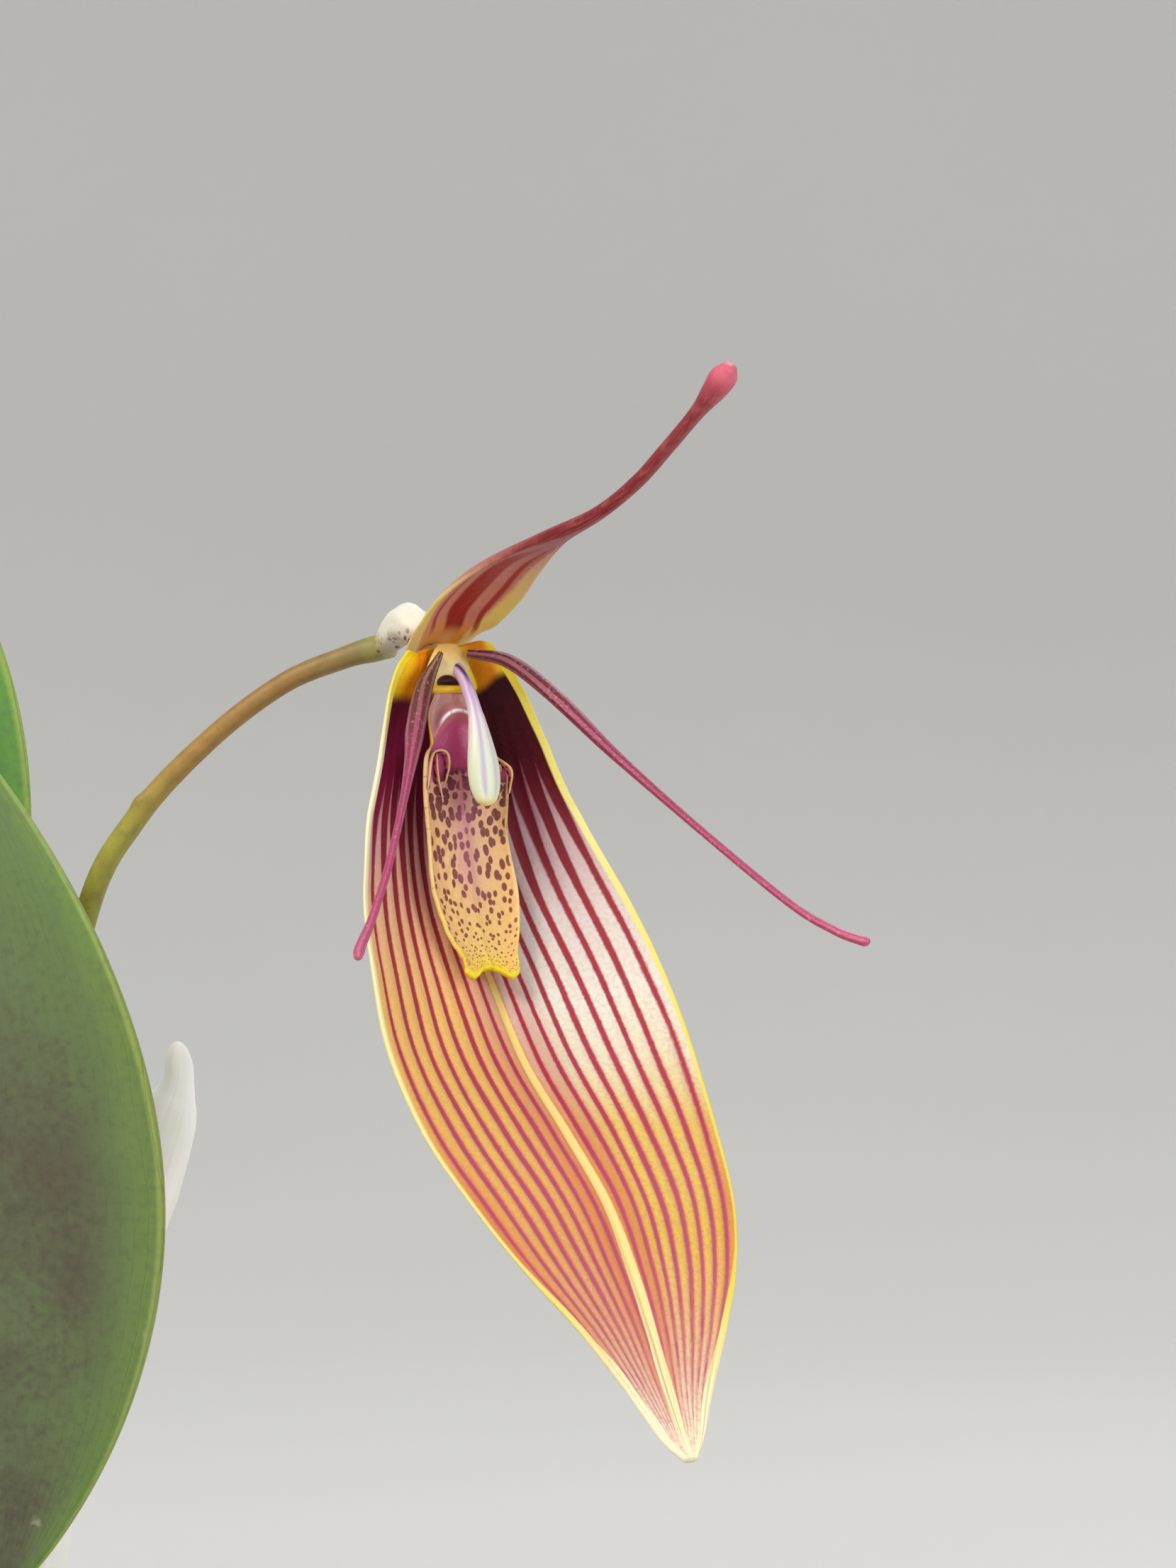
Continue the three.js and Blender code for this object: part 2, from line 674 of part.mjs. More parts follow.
// A sepal in the flower's middle plane; a station without a half thickness is at its thinnest.
function sepalGeometry({ stations, face, rows, columns }) {
  const path = smooth(stations.map(([forward, up]) => [0, -forward, up]));
  const girth = smooth(stations.map(([, , halfWidth, cupping, halfThick = HALF_BLADE]) => {
    return [halfWidth, cupping, halfThick];
  }));
  return bladeGeometry({ path, girth, face: new THREE.Vector3(...face), rows, columns });
}

function petalGeometry(stations) {
  const path = smooth(stations.map(([right, forward, up]) => [right, -forward, up]));
  const girth = smooth(stations.map(([, , , halfWidth, halfThick]) => [halfWidth, halfThick, 0]));
  const face = new THREE.Vector3(0, -0.4, 1);
  return stalkGeometry({ path, girth, face, rings: PETAL_RINGS, sides: THREAD_SIDES });
}

// The lip's end is notched into two small lobes.
function lipGeometry() {
  const { stations, face, rows, columns, notch } = LIP;
  const path = smooth(stations.map(([right, forward, up]) => [right, -forward, up]));
  const girth = smooth(stations.map(([, , , width, cupping]) => [width, cupping, HALF_BLADE]));
  const lobe = (t, u) => notch * t ** LIP.notchEase * (2 * Math.abs(u) - 1);
  return bladeGeometry({ path, girth, face: new THREE.Vector3(...face), rows, columns, lobe });
}

function columnGeometry() {
  const face = new THREE.Vector3(0, -1, 0.2);
  const [club, foot] = [COLUMN.club, COLUMN.foot].map((stations) => {
    const path = smooth(stations.map(([forward, up]) => [0, -forward, up]));
    const girth = smooth(stations.map(([, , halfWidth, halfDepth]) => [halfWidth, halfDepth, 0]));
    const rings = stations.length + COLUMN.moreRings;
    return solidOf(stalkGeometry({ path, girth, face, rings, sides: ROUND_SIDES }));
  });
  return geometryOf(club.add(foot));
}

function named(name, geometry, material) {
  const mesh = new THREE.Mesh(geometry, material);
  mesh.name = name;
  return mesh;
}

function flowerGroup() {
  const flower = new THREE.Group();
  flower.add(named("ovary", ovaryGeometry(), CREAM));
  flower.add(named("synsepal", sepalGeometry(SYNSEPAL), STRIPED_RED));
  flower.add(named("dorsal_sepal", sepalGeometry(DORSAL), THREAD_PINK));
  for (const [name, stations] of Object.entries(PETALS)) {
    flower.add(named(name, petalGeometry(stations), THREAD_PINK));
  }
  flower.add(named("lip", lipGeometry(), LIP_BUFF));
  flower.add(named("column", columnGeometry(), CREAM));
  flower.position.set(...FLOWER.place);
  flower.rotation.z = THREE.MathUtils.degToRad(FLOWER.turn);
  return flower;
}

function plantGroup() {
  const plant = new THREE.Group();
  plant.add(named("rhizome", geometryOf(rhizomeSolid(0).subtract(footSpaces())), ROOT_GREY));
  STEMS.forEach((stem, i) => {
    plant.add(named("ramicaul_" + (i + 1), stemGeometry(stem), SHEATH_TAN));
    plant.add(named("leaf_" + (i + 1), leafGeometry(stem), LEAF_GREEN));
  });
  const forward = new THREE.Vector3(0, -1, 0);
  plant.add(named("young_shoot", rowTubeGeometry(SHOOT, forward, ROUND_SIDES), PAPER_WHITE));
  plant.add(named("pedicel", rowTubeGeometry(PEDICEL, forward, THREAD_SIDES), STALK_OLIVE));
  plant.add(flowerGroup());
  return plant;
}

const pottedOrchid = new THREE.Group();
pottedOrchid.add(named("pot", potGeometry(), CLAY));
pottedOrchid.add(named("substrate", barkGeometry(), BARK_BROWN));
pottedOrchid.add(plantGroup());

export default pottedOrchid;
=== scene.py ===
"""Looks of a tufted orchid in a plain clay pot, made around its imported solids.

Sizes are millimetres until a mesh is built. +Z is up, and the viewer stands on the -Y side.
"""
import logging
import math
from dataclasses import dataclass
from enum import Enum
from typing import Callable, Iterator, Sequence, Union

import bmesh
import bpy
import numpy as np
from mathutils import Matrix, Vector


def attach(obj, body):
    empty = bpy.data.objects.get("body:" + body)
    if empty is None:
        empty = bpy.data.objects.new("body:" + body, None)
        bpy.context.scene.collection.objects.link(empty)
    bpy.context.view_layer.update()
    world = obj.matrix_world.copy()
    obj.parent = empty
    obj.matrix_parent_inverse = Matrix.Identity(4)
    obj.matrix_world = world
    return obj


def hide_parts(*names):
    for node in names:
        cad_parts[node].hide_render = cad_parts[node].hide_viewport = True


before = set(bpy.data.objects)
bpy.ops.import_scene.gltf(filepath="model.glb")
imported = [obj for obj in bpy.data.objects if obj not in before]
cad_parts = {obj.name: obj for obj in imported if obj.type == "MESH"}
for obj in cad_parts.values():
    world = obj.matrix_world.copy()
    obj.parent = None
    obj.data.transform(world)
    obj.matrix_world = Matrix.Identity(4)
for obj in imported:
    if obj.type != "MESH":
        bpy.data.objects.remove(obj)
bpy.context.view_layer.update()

LOG = logging.getLogger("potted_orchid")
MM = 0.001
BODY = "root"

Array = np.ndarray
Piece = bpy.types.Object
Triple = tuple[float, float, float]
Colour = tuple[float, float, float, float]
Rows = Sequence[Sequence[float]]
Stops = Sequence[tuple[float, "str | float"]]
Halves = tuple[Stops, Stops]
Sizes = dict[str, "float | int"]
Line = Callable[[Array], Array]
Field = Callable[[Array, Array], Array]
Term = Union["Wire", float]


def paint(code: str) -> Colour:
    """A colour from its six hexadecimal sRGB digits."""
    parts = [int(code[i:i + 2], 16) / 255 for i in (0, 2, 4)]
    linear = [p / 12.92 if p <= 0.04045 else ((p + 0.055) / 1.055) ** 2.4 for p in parts]
    return (*linear, 1.0)


def seeded(seed: int) -> Iterator[float]:
    """Numbers from 0 to 1 that are the same on each run, and the same as in the solids."""
    state = seed
    while True:
        state = (state * 1664525 + 1013904223) % 4294967296
        yield state / 4294967296


def hill(x: Array, middle: float, width: float) -> Array:
    """A smooth hill of height 1 at the middle."""
    return np.exp(-(((x - middle) / width) ** 2))


def ease(x: Array, low: float, high: float) -> Array:
    """0 below low, 1 above high, and a smooth step between them."""
    share = np.clip((x - low) / (high - low), 0, 1)
    return share * share * (3 - 2 * share)


# Node trees written as expressions.


def operator(operation: str, flipped: bool = False) -> Callable[..., "Wire"]:
    """A method of a wire that adds one Math node.

    Args:
        operation: what the node does.
        flipped: whether the other value comes first.

    Returns:
        The method, which takes the wire and at most one other value.
    """
    def method(wire: "Wire", *other: Term) -> "Wire":
        """Adds the node."""
        return wire.graph.math(operation, *((*other, wire) if flipped else (wire, *other)))
    return method


class Wire:
    """A node's output that adds Math nodes when it is used in arithmetic."""

    __add__ = __radd__ = operator("ADD")
    __sub__ = operator("SUBTRACT")
    __rsub__ = operator("SUBTRACT", flipped=True)
    __mul__ = __rmul__ = operator("MULTIPLY")
    __truediv__ = operator("DIVIDE")
    __pow__ = operator("POWER")
    __abs__ = operator("ABSOLUTE")
    sine = operator("SINE")
    fraction = operator("FRACT")
    least = operator("MINIMUM")
    most = operator("MAXIMUM")

    def __init__(self, graph: "Graph", socket: bpy.types.NodeSocket) -> None:
        """Keeps the graph that the socket belongs to."""
        self.graph = graph
        self.socket = socket

    def other(self, key: "str | int") -> "Wire":
        """Another output of the same node."""
        return Wire(self.graph, self.socket.node.outputs[key])

    def step(self, low: Term, high: Term) -> "Wire":
        """0 below low, 1 above high, and a smooth step between them."""
        return self.graph.node("ShaderNodeMapRange", {"interpolation_type": "SMOOTHSTEP"},
                               {"Value": self, "From Min": low, "From Max": high})

    def hill(self, middle: Term, width: Term) -> "Wire":
        """1 at the middle, falling smoothly to 0 a width away."""
        return 1 - abs(self - middle).step(0, width)


class Graph:
    """A node tree whose nodes all come from one method."""

    def __init__(self, tree: bpy.types.NodeTree) -> None:
        """Keeps the tree."""
        self.tree = tree

    def node(self, kind: str, settings: "dict | None" = None, inputs: "dict | None" = None,
             out: "str | int" = 0) -> Wire:
        """Adds one node.

        Args:
            kind: the node's type.
            settings: its own properties, set first; "stops" fills a colour ramp.
            inputs: values or wires for its sockets, by name or number.
            out: the output that the wire is taken from.

        Returns:
            The wire of that output.
        """
        made = self.tree.nodes.new(kind)
        for key, value in (settings or {}).items():
            if key == "stops":
                fill_ramp(made.color_ramp, value)
            else:
                setattr(made, key, value)
        for key, value in (inputs or {}).items():
            for one in value if isinstance(value, list) else [value]:
                if isinstance(one, Wire):
                    self.tree.links.new(one.socket, made.inputs[key])
                else:
                    made.inputs[key].default_value = one
        return Wire(self, made.outputs[out])

    def math(self, operation: str, *values: Term) -> Wire:
        """A Math node on one, two or three values."""
        return self.node("ShaderNodeMath", {"operation": operation}, dict(enumerate(values)))

    def vector(self, x: Term, y: Term, z: Term = 0) -> Wire:
        """A vector from its three numbers."""
        return self.node("ShaderNodeCombineXYZ", None, {0: x, 1: y, 2: z})

    def split(self, vector: Wire) -> tuple[Wire, Wire, Wire]:
        """The three numbers of a vector."""
        x = self.node("ShaderNodeSeparateXYZ", None, {0: vector})
        return x, x.other(1), x.other(2)

    def stretched(self, vector: Wire, by: Triple) -> Wire:
        """A vector with each of its numbers multiplied."""
        return self.node("ShaderNodeVectorMath", {"operation": "MULTIPLY"}, {0: vector, 1: by})

    def noise(self, where: Wire, scale: float = 1.0, detail: float = 2.0) -> Wire:
        """Soft noise from 0 to 1."""
        return self.node("ShaderNodeTexNoise", None,
                         {"Vector": where, "Scale": scale, "Detail": detail})

    def cells(self, where: Wire, scale: float = 1.0, randomness: float = 1.0,
              out: str = "Distance", flat: bool = False) -> Wire:
        """Distance to the nearest of many scattered points, or that cell's own colour."""
        return self.node("ShaderNodeTexVoronoi", {"voronoi_dimensions": "2D" if flat else "3D"},
                         {"Vector": where, "Scale": scale, "Randomness": randomness}, out)


def fill_ramp(ramp: bpy.types.ColorRamp, stops: Stops) -> None:
    """Gives a colour ramp its stops, each a place and a colour's digits or a grey."""
    while len(ramp.elements) < len(stops):
        ramp.elements.new(1.0)
    for element, (place, shade) in zip(ramp.elements, stops):
        element.position = place
        element.color = paint(shade) if isinstance(shade, str) else (shade, shade, shade, 1.0)


class Dress(Graph):
    """One material under construction."""

    def __init__(self, name: str) -> None:
        """Starts a material with its shader."""
        self.material = bpy.data.materials.new(name)
        self.material.use_nodes = True
        super().__init__(self.material.node_tree)
        self.shader = self.tree.nodes["Principled BSDF"]

    def set(self, values: dict) -> "Dress":
        """Sets or links the shader's sockets by name."""
        for key, value in values.items():
            if isinstance(value, Wire):
                self.tree.links.new(value.socket, self.shader.inputs[key])
            else:
                self.shader.inputs[key].default_value = value
        return self

    def coat(self, colour: Wire, rough: Term, normal: "Wire | None" = None,
             soft: float = 0, depth: float = 0.4, gloss: "float | None" = None,
             glow: "float | None" = None) -> "Dress":
        """Sets the sockets that most finishes need.

        Args:
            colour: the base colour.
            rough: the roughness.
            normal: a bumped normal.
            soft: the share of light that goes through the skin.
            depth: how far it goes, in millimetres.
            gloss: the specular level, where it isn't the usual one.
            glow: how strongly the surface shines in its own colour.

        Returns:
            The material itself.
        """
        values = {"Base Color": colour, "Roughness": rough}
        if normal:
            values["Normal"] = normal
        if soft:
            values.update({"Subsurface Weight": soft, "Subsurface Scale": depth * MM})
        if gloss is not None:
            values["Specular IOR Level"] = gloss
        if glow is not None:
            values.update({"Emission Color": colour, "Emission Strength": glow})
        return self.set(values)

    def uv(self) -> tuple[Wire, Wire]:
        """Place across and along the piece, from 0 to 1 each."""
        across, along, _ = self.split(self.node("ShaderNodeUVMap", {"uv_map": "UVMap"}))
        return across, along

    def place(self) -> Wire:
        """Place in the flower's own frame, in millimetres."""
        return self.node("ShaderNodeAttribute", {"attribute_name": "place"}, out="Vector")

    def spot(self) -> Wire:
        """Place in the part's frame, in millimetres."""
        where = self.node("ShaderNodeTexCoord", out="Object")
        return self.stretched(where, (1 / MM, 1 / MM, 1 / MM))

    def ramp(self, factor: Wire, stops: Stops) -> Wire:
        """A colour that changes with a number, with smooth stops between 0 and 1."""
        return self.node("ShaderNodeValToRGB", {"stops": stops}, {"Fac": factor}, "Color")

    def blend(self, factor: Term, low: "Wire | str", high: "Wire | str") -> Wire:
        """A colour between two, each a wire or a colour's digits."""
        low, high = (paint(c) if isinstance(c, str) else c for c in (low, high))
        return self.node("ShaderNodeMix", {"data_type": "RGBA"}, {0: factor, 6: low, 7: high}, 2)

    def layers(self, colour: "Wire | str", *masks: tuple[Term, "Wire | str"]) -> Wire:
        """A colour with others laid over it, each with the mask that shows it."""
        for mask, over in masks:
            colour = self.blend(mask, colour, over)
        return colour

    def bump(self, height: Wire, depth: float, strength: float = 1.0) -> Wire:
        """A bumped normal whose relief is depth millimetres deep."""
        return self.node("ShaderNodeBump", None,
                         {"Height": height, "Distance": depth * MM, "Strength": strength})


class Rig(Graph):
    """A geometry node tree with named sizes."""

    def __init__(self, name: str, sizes: Sizes) -> None:
        """Makes the tree with one input for each size."""
        tree = bpy.data.node_groups.new(name, "GeometryNodeTree")
        tree.interface.new_socket("Geometry", in_out="INPUT", socket_type="NodeSocketGeometry")
        for label, value in sizes.items():
            kind = "NodeSocketInt" if isinstance(value, int) else "NodeSocketFloat"
            tree.interface.new_socket(label, in_out="INPUT", socket_type=kind)
        tree.interface.new_socket("Geometry", in_out="OUTPUT", socket_type="NodeSocketGeometry")
        super().__init__(tree)
        self.sizes = sizes
        self.inlet = tree.nodes.new("NodeGroupInput")
        self.outlet = tree.nodes.new("NodeGroupOutput")

    def __getitem__(self, label: str) -> Wire:
        """One of the tree's inputs."""
        return Wire(self, self.inlet.outputs[label])

    def close(self, geometry: Wire, finish: "Finish") -> None:
        """Ends the tree with real geometry in one finish."""
        real = self.node("GeometryNodeRealizeInstances", None, {"Geometry": geometry})
        dressed = self.node("GeometryNodeSetMaterial", None,
                            {"Geometry": real, "Material": finish.material()})
        self.tree.links.new(dressed.socket, self.outlet.inputs[0])

    def shape(self, base: Piece, sizes: Sizes) -> Piece:
        """Runs the tree on an object and leaves the result in it as a plain mesh.

        Args:
            base: the object that the tree starts from.
            sizes: the inputs that differ from the tree's own.

        Returns:
            The same object.
        """
        modifier = base.modifiers.new("shape", "NODES")
        modifier.node_group = self.tree
        sockets = self.tree.interface.items_tree
        for label, value in {**self.sizes, **sizes}.items():
            modifier[sockets[label].identifier] = value
        return settle(base)


def settle(piece: Piece) -> Piece:
    """Turns an object's modifiers into its mesh."""
    graph = bpy.context.evaluated_depsgraph_get()
    graph.update()
    mesh = bpy.data.meshes.new_from_object(piece.evaluated_get(graph))
    piece.modifiers.clear()
    piece.data = mesh
    return piece


# Curves and meshes.


class Curve:
    """A smooth curve through rows of numbers, one row for each even step."""

    def __init__(self, rows: Rows) -> None:
        """Keeps the rows, with one more at each end to lead the curve in and out."""
        inner = np.array(rows, float)
        lead = 2 * inner[:1] - inner[1:2]
        trail = 2 * inner[-1:] - inner[-2:-1]
        self.rows = np.vstack([lead, inner, trail])
        self.spans = len(inner) - 1

    def at(self, t: Array) -> Array:
        """The curve's rows at places from 0 to 1."""
        scaled = np.asarray(t, float) * self.spans
        start = np.clip(np.floor(scaled).astype(int), 0, self.spans - 1)
        w = (scaled - start)[..., None]
        p0, p1, p2, p3 = (self.rows[start + i] for i in range(4))
        bend = 2 * p0 - 5 * p1 + 4 * p2 - p3
        turn = 3 * p1 - p0 - 3 * p2 + p3
        return 0.5 * (2 * p1 + (p2 - p0) * w + bend * w ** 2 + turn * w ** 3)

    def along(self, t: Array) -> Array:
        """Unit directions of the curve."""
        low, high = np.clip(t - 1e-4, 0, 1), np.clip(t + 1e-4, 0, 1)
        return unit(self.at(high) - self.at(low))


def unit(vectors: Array) -> Array:
    """Vectors of length 1."""
    return vectors / np.maximum(np.linalg.norm(vectors, axis=-1, keepdims=True), 1e-12)


def axes(path: Curve, t: Array, face: Triple) -> tuple[Array, Array, Array]:
    """Along, across and up directions of a piece at places on its path."""
    along = path.along(t)
    across = unit(np.cross(along, np.array(face, float)))
    return along, across, np.cross(across, along)


def turns(count: int, closed: bool = False) -> Array:
    """Angles of an even ring, with the first one again at its end where it is closed."""
    return 2 * np.pi * np.arange(count + closed) / count


def new_object(name: str, data: bpy.types.ID) -> Piece:
    """An object that is linked to the scene."""
    piece = bpy.data.objects.new(name, data)
    bpy.context.scene.collection.objects.link(piece)
    return piece


class Shape:
    """Points, faces and pattern places of a mesh while it is made."""

    def __init__(self) -> None:
        """Starts empty."""
        self.points: list[Array] = []
        self.faces: list[list[int]] = []
        self.marks: list[Array] = []
        self.slots: list[int] = []
        self.count = 0

    def put(self, points: Array) -> Array:
        """Adds points and returns their numbers in the same layout."""
        flat = points.reshape(-1, 3)
        self.points.append(flat)
        numbers = self.count + np.arange(len(flat))
        self.count += len(flat)
        return numbers.reshape(points.shape[:-1])

    def quads(self, numbers: Array, marks: Array, slot: int = 0) -> None:
        """Adds the faces of a grid of points.

        Args:
            numbers: the points' numbers.
            marks: their pattern places.
            slot: the faces' finish.
        """
        corners = [(slice(None, -1), slice(None, -1)), (slice(None, -1), slice(1, None)),
                   (slice(1, None), slice(1, None)), (slice(1, None), slice(None, -1))]
        faces = np.stack([numbers[c] for c in corners], -1).reshape(-1, 4)
        self.faces += faces.tolist()
        self.marks.append(np.stack([marks[c] for c in corners], -2).reshape(-1, 2))
        self.slots += [slot] * len(faces)

    def fan(self, ring: Array, middle: Array, marks: Array, slot: int = 0) -> None:
        """Closes a ring of points with triangles to a middle point."""
        hub = int(self.put(middle.reshape(1, 3))[0])
        count = len(ring)
        for i in range(count):
            j = (i + 1) % count
            self.faces.append([hub, int(ring[i]), int(ring[j])])
            self.marks.append(np.array([marks[i], marks[i], marks[i + 1]]))
            self.slots.append(slot)

    def sheet(self, front: Array, back: Array, marks: Array, under: int = 0,
              slot: int = 0) -> None:
        """Adds a closed sheet.

        Args:
            front: its front's points.
            back: its back's points, a grid of the same size.
            marks: pattern places of both.
            under: the back's finish.
            slot: the front's and the rim's finish.
        """
        top, bottom = self.put(front), self.put(back)
        self.quads(top, marks, slot)
        self.quads(bottom, marks, under)
        for edge in ((0, slice(None)), (-1, slice(None)), (slice(None), 0), (slice(None), -1)):
            rim = np.stack([top[edge], bottom[edge]])
            self.quads(rim, np.stack([marks[edge], marks[edge]]), slot)

    def tube(self, points: Array, t: Array, slot: int = 0) -> None:
        """Adds a closed tube from its rings of points."""
        numbers = self.put(points)
        sides = points.shape[1]
        turn, along = np.meshgrid(np.arange(sides + 1) / sides, t)
        marks = np.stack([turn, along], -1)
        self.quads(np.concatenate([numbers, numbers[:, :1]], 1), marks, slot)
        self.fan(numbers[0], points[0].mean(0), marks[0], slot)
        self.fan(numbers[-1], points[-1].mean(0), marks[-1], slot)

    def build(self, name: str, finishes: Sequence["Finish"],
              place: "Line | None" = None) -> Piece:
        """Makes the object, with its faces turned outwards.

        Args:
            name: the object's name.
            finishes: its finishes, in the order of the slots.
            place: turns the shape's points into the part's frame, and keeps the first ones
                as the attribute "place".

        Returns:
            The object, in metres.
        """
        points = np.concatenate(self.points)
        world = place(points) if place else points
        mesh = bpy.data.meshes.new(name)
        mesh.from_pydata((world * MM).tolist(), [], self.faces)
        layer = mesh.uv_layers.new(name="UVMap")
        layer.data.foreach_set("uv", np.concatenate(self.marks).ravel().astype(np.float32))
        mesh.polygons.foreach_set("material_index", self.slots)
        if place:
            kept = mesh.attributes.new("place", "FLOAT_VECTOR", "POINT")
            kept.data.foreach_set("vector", points.ravel().astype(np.float32))
        for finish in finishes:
            mesh.materials.append(finish.material())
        face_outwards(mesh)
        return new_object(name, mesh)


def face_outwards(mesh: bpy.types.Mesh) -> None:
    """Turns the faces of a closed mesh outwards and shades it smooth."""
    work = bmesh.new()
    work.from_mesh(mesh)
    bmesh.ops.recalc_face_normals(work, faces=work.faces)
    work.to_mesh(mesh)
    work.free()
    mesh.shade_smooth()


def joined(name: str, pieces: list[Piece]) -> Piece:
    """Joins several objects into the first and names it."""
    first = pieces[0]
    with bpy.context.temp_override(active_object=first, selected_editable_objects=pieces):
        bpy.ops.object.join()
    first.name = first.data.name = name
    return first


def wire_object(name: str, points: Array) -> Piece:
    """An object that is only a chain of edges, in metres, for a tree to follow."""
    mesh = bpy.data.meshes.new(name)
    mesh.from_pydata((points * MM).tolist(), [(i, i + 1) for i in range(len(points) - 1)], [])
    return new_object(name, mesh)


def ring_points(path: Curve, t: Array, face: Triple, width: Array, depth: Array,
                sides: int, slant: "Array | None" = None) -> Array:
    """Rings of points round a path.

    Args:
        path: the path.
        t: places on it, one for each ring.
        face: the way the piece's face looks.
        width: half width of each ring, or of each ring's points.
        depth: half depth likewise.
        sides: points in a ring.
        slant: how far each ring's points move along the path.

    Returns:
        An array of rings, points and coordinates.
    """
    along, across, up = (a[:, None] for a in axes(path, t, face))
    angle = turns(sides)
    width = np.broadcast_to(np.reshape(width, (len(t), -1)), (len(t), sides))
    depth = np.broadcast_to(np.reshape(depth, (len(t), -1)), (len(t), sides))
    points = path.at(t)[:, None] + across * (width * np.cos(angle))[..., None]
    points = points + up * (depth * np.sin(angle))[..., None]
    if slant is not None:
        points = points + along * slant[..., None]
    return points


@dataclass
class Sheet:
    """A blade along a path: where its middle surface runs and how thick it is."""

    path: Curve
    girth: Line
    face: Triple
    rows: int
    columns: int
    half_thick: float
    edge_thin: float = 0.35
    roundness: "Line | None" = None

    def marks(self) -> tuple[Array, Array]:
        """Places along and across, crowded a little towards the margins."""
        even = np.linspace(-1, 1, self.columns + 1)
        crowded = 0.5 * even + 0.5 * np.sin(even * np.pi / 2)
        return np.meshgrid(np.linspace(0, 1, self.rows + 1), crowded, indexing="ij")

    def faces(self, relief: Field,
              lobe: "Field | None" = None,
              bend: "Field | None" = None,
              follow: float = 0.5) -> tuple[Array, Array, Array]:
        """Both faces of the blade.

        Args:
            relief: how far the front stands out at places along and across.
            lobe: how far the blade is drawn out along its path there.
            bend: how far it bends towards its face there, beyond its cupping.
            follow: the share of the relief that shows on the back.

        Returns:
            Front, back and pattern places.
        """
        t, u = self.marks()
        line = t[:, 0]
        along, across, up = (a[:, None] for a in axes(self.path, line, self.face))
        girth = self.girth(line)[:, None]
        middle = self.path.at(line)[:, None] + across * girth[..., :1] * u[..., None]
        middle = middle + up * girth[..., 1:2] * (u ** 2)[..., None]
        if lobe:
            middle = middle + along * lobe(t, u)[..., None]
        if bend:
            middle = middle + up * bend(t, u)[..., None]
        normal = unit(np.cross(np.gradient(middle, axis=1), np.gradient(middle, axis=0)))
        normal *= np.sign(np.sum(normal * up, -1, keepdims=True))
        thick = girth[..., 2] if girth.shape[-1] > 2 else self.half_thick
        half = thick * (1 - (1 - self.edge_thin) * np.abs(u) ** 8)
        if self.roundness:
            share = self.roundness(line)[:, None]
            half = half * (1 - share) + thick * np.sqrt(1 - 0.98 * u * u) * share
        lift = relief(t, u)
        front = middle + normal * (half + lift)[..., None]
        back = middle - normal * (half - follow * lift)[..., None]
        return front, back, np.stack([(u + 1) / 2, t], -1)


# Finishes.


@dataclass(frozen=True)
class Finish:
    """A finish, whose material is made once."""

    name: str

    def material(self) -> bpy.types.Material:
        """The finish's material."""
        known = bpy.data.materials.get(self.name)
        return known or self.make(Dress(self.name)).material

    def make(self, d: Dress) -> Dress:
        """Builds the material's nodes."""
        raise NotImplementedError


@dataclass(frozen=True)
class Terracotta(Finish):
    """Unglazed clay with throwing marks, a sandy grain and a little lime bloom."""

    clay: str = "b5623a"
    light: str = "c98458"
    bloom: str = "dcbfa6"
    ring_pitch: float = 2.2

    def make(self, d: Dress) -> Dress:
        """Clay colour from slow and fine noise, rings from the height."""
        where = d.spot()
        _, _, z = d.split(where)
        cloud = d.noise(where, 0.045, 3)
        sand = d.noise(where, 1.6, 3)
        damp = 1 - z.step(2, 30)
        bloom = (d.noise(where, 0.11, 4) + damp * 0.14).step(0.58, 0.74) * 0.55
        colour = d.layers(
            self.clay, (cloud.step(0.3, 0.7), self.light),
            (sand.step(0.52, 0.75) * 0.35, "8f4a2c"), (bloom, self.bloom))
        wave = (z * (2 * math.pi / self.ring_pitch) + cloud * 6).sine() * 0.18
        relief = d.bump(wave + sand * 0.6 + d.noise(where, 5) * 0.3, 0.25, 0.7)
        return d.coat(colour, 0.78 + sand * 0.15, relief)


@dataclass(frozen=True)
class BarkChip(Finish):
    """Broken bark: corky brown with darker grooves and paler dust."""

    dark: str = "2f1d12"
    brown: str = "6b452b"
    pale: str = "9a7450"

    def make(self, d: Dress) -> Dress:
        """Layers of noise stretched like grain."""
        where = d.spot()
        tone = d.noise(where, 0.16)
        grain = d.noise(d.stretched(where, (0.5, 0.5, 2.4)), 0.9, 4)
        colour = d.ramp(tone * 0.6 + grain * 0.5,
                        [(0.32, self.dark), (0.5, self.brown), (0.7, self.pale)])
        relief = d.bump(grain + d.noise(where, 2.6, 3) * 0.4, 0.5, 0.8)
        return d.coat(colour, 0.9, relief)


@dataclass(frozen=True)
class Velamen(Finish):
    """The spongy pale skin of rhizome and roots."""

    pale: str = "c3bd9c"
    dull: str = "837a52"

    def make(self, d: Dress) -> Dress:
        """Pale skin with dull scuffs."""
        where = d.spot()
        cloud = d.noise(where, 0.35, 4)
        fine = d.noise(where, 3.5, 3)
        colour = d.blend(cloud.step(0.35, 0.62), self.dull, self.pale)
        relief = d.bump(fine + cloud, 0.2, 0.6)
        return d.coat(colour, 0.85, relief)


@dataclass(frozen=True)
class Sphagnum(Finish):
    """Living moss heads, green with a few straw ones."""

    green: str = "6f8a34"
    straw: str = "b9a860"

    def make(self, d: Dress) -> Dress:
        """Colour by patches."""
        where = d.spot()
        patch = d.noise(where, 0.22)
        fine = d.noise(where, 1.4)
        colour = d.blend((patch + fine * 0.3).step(0.5, 0.8), self.green, self.straw)
        return d.coat(colour, 0.8)


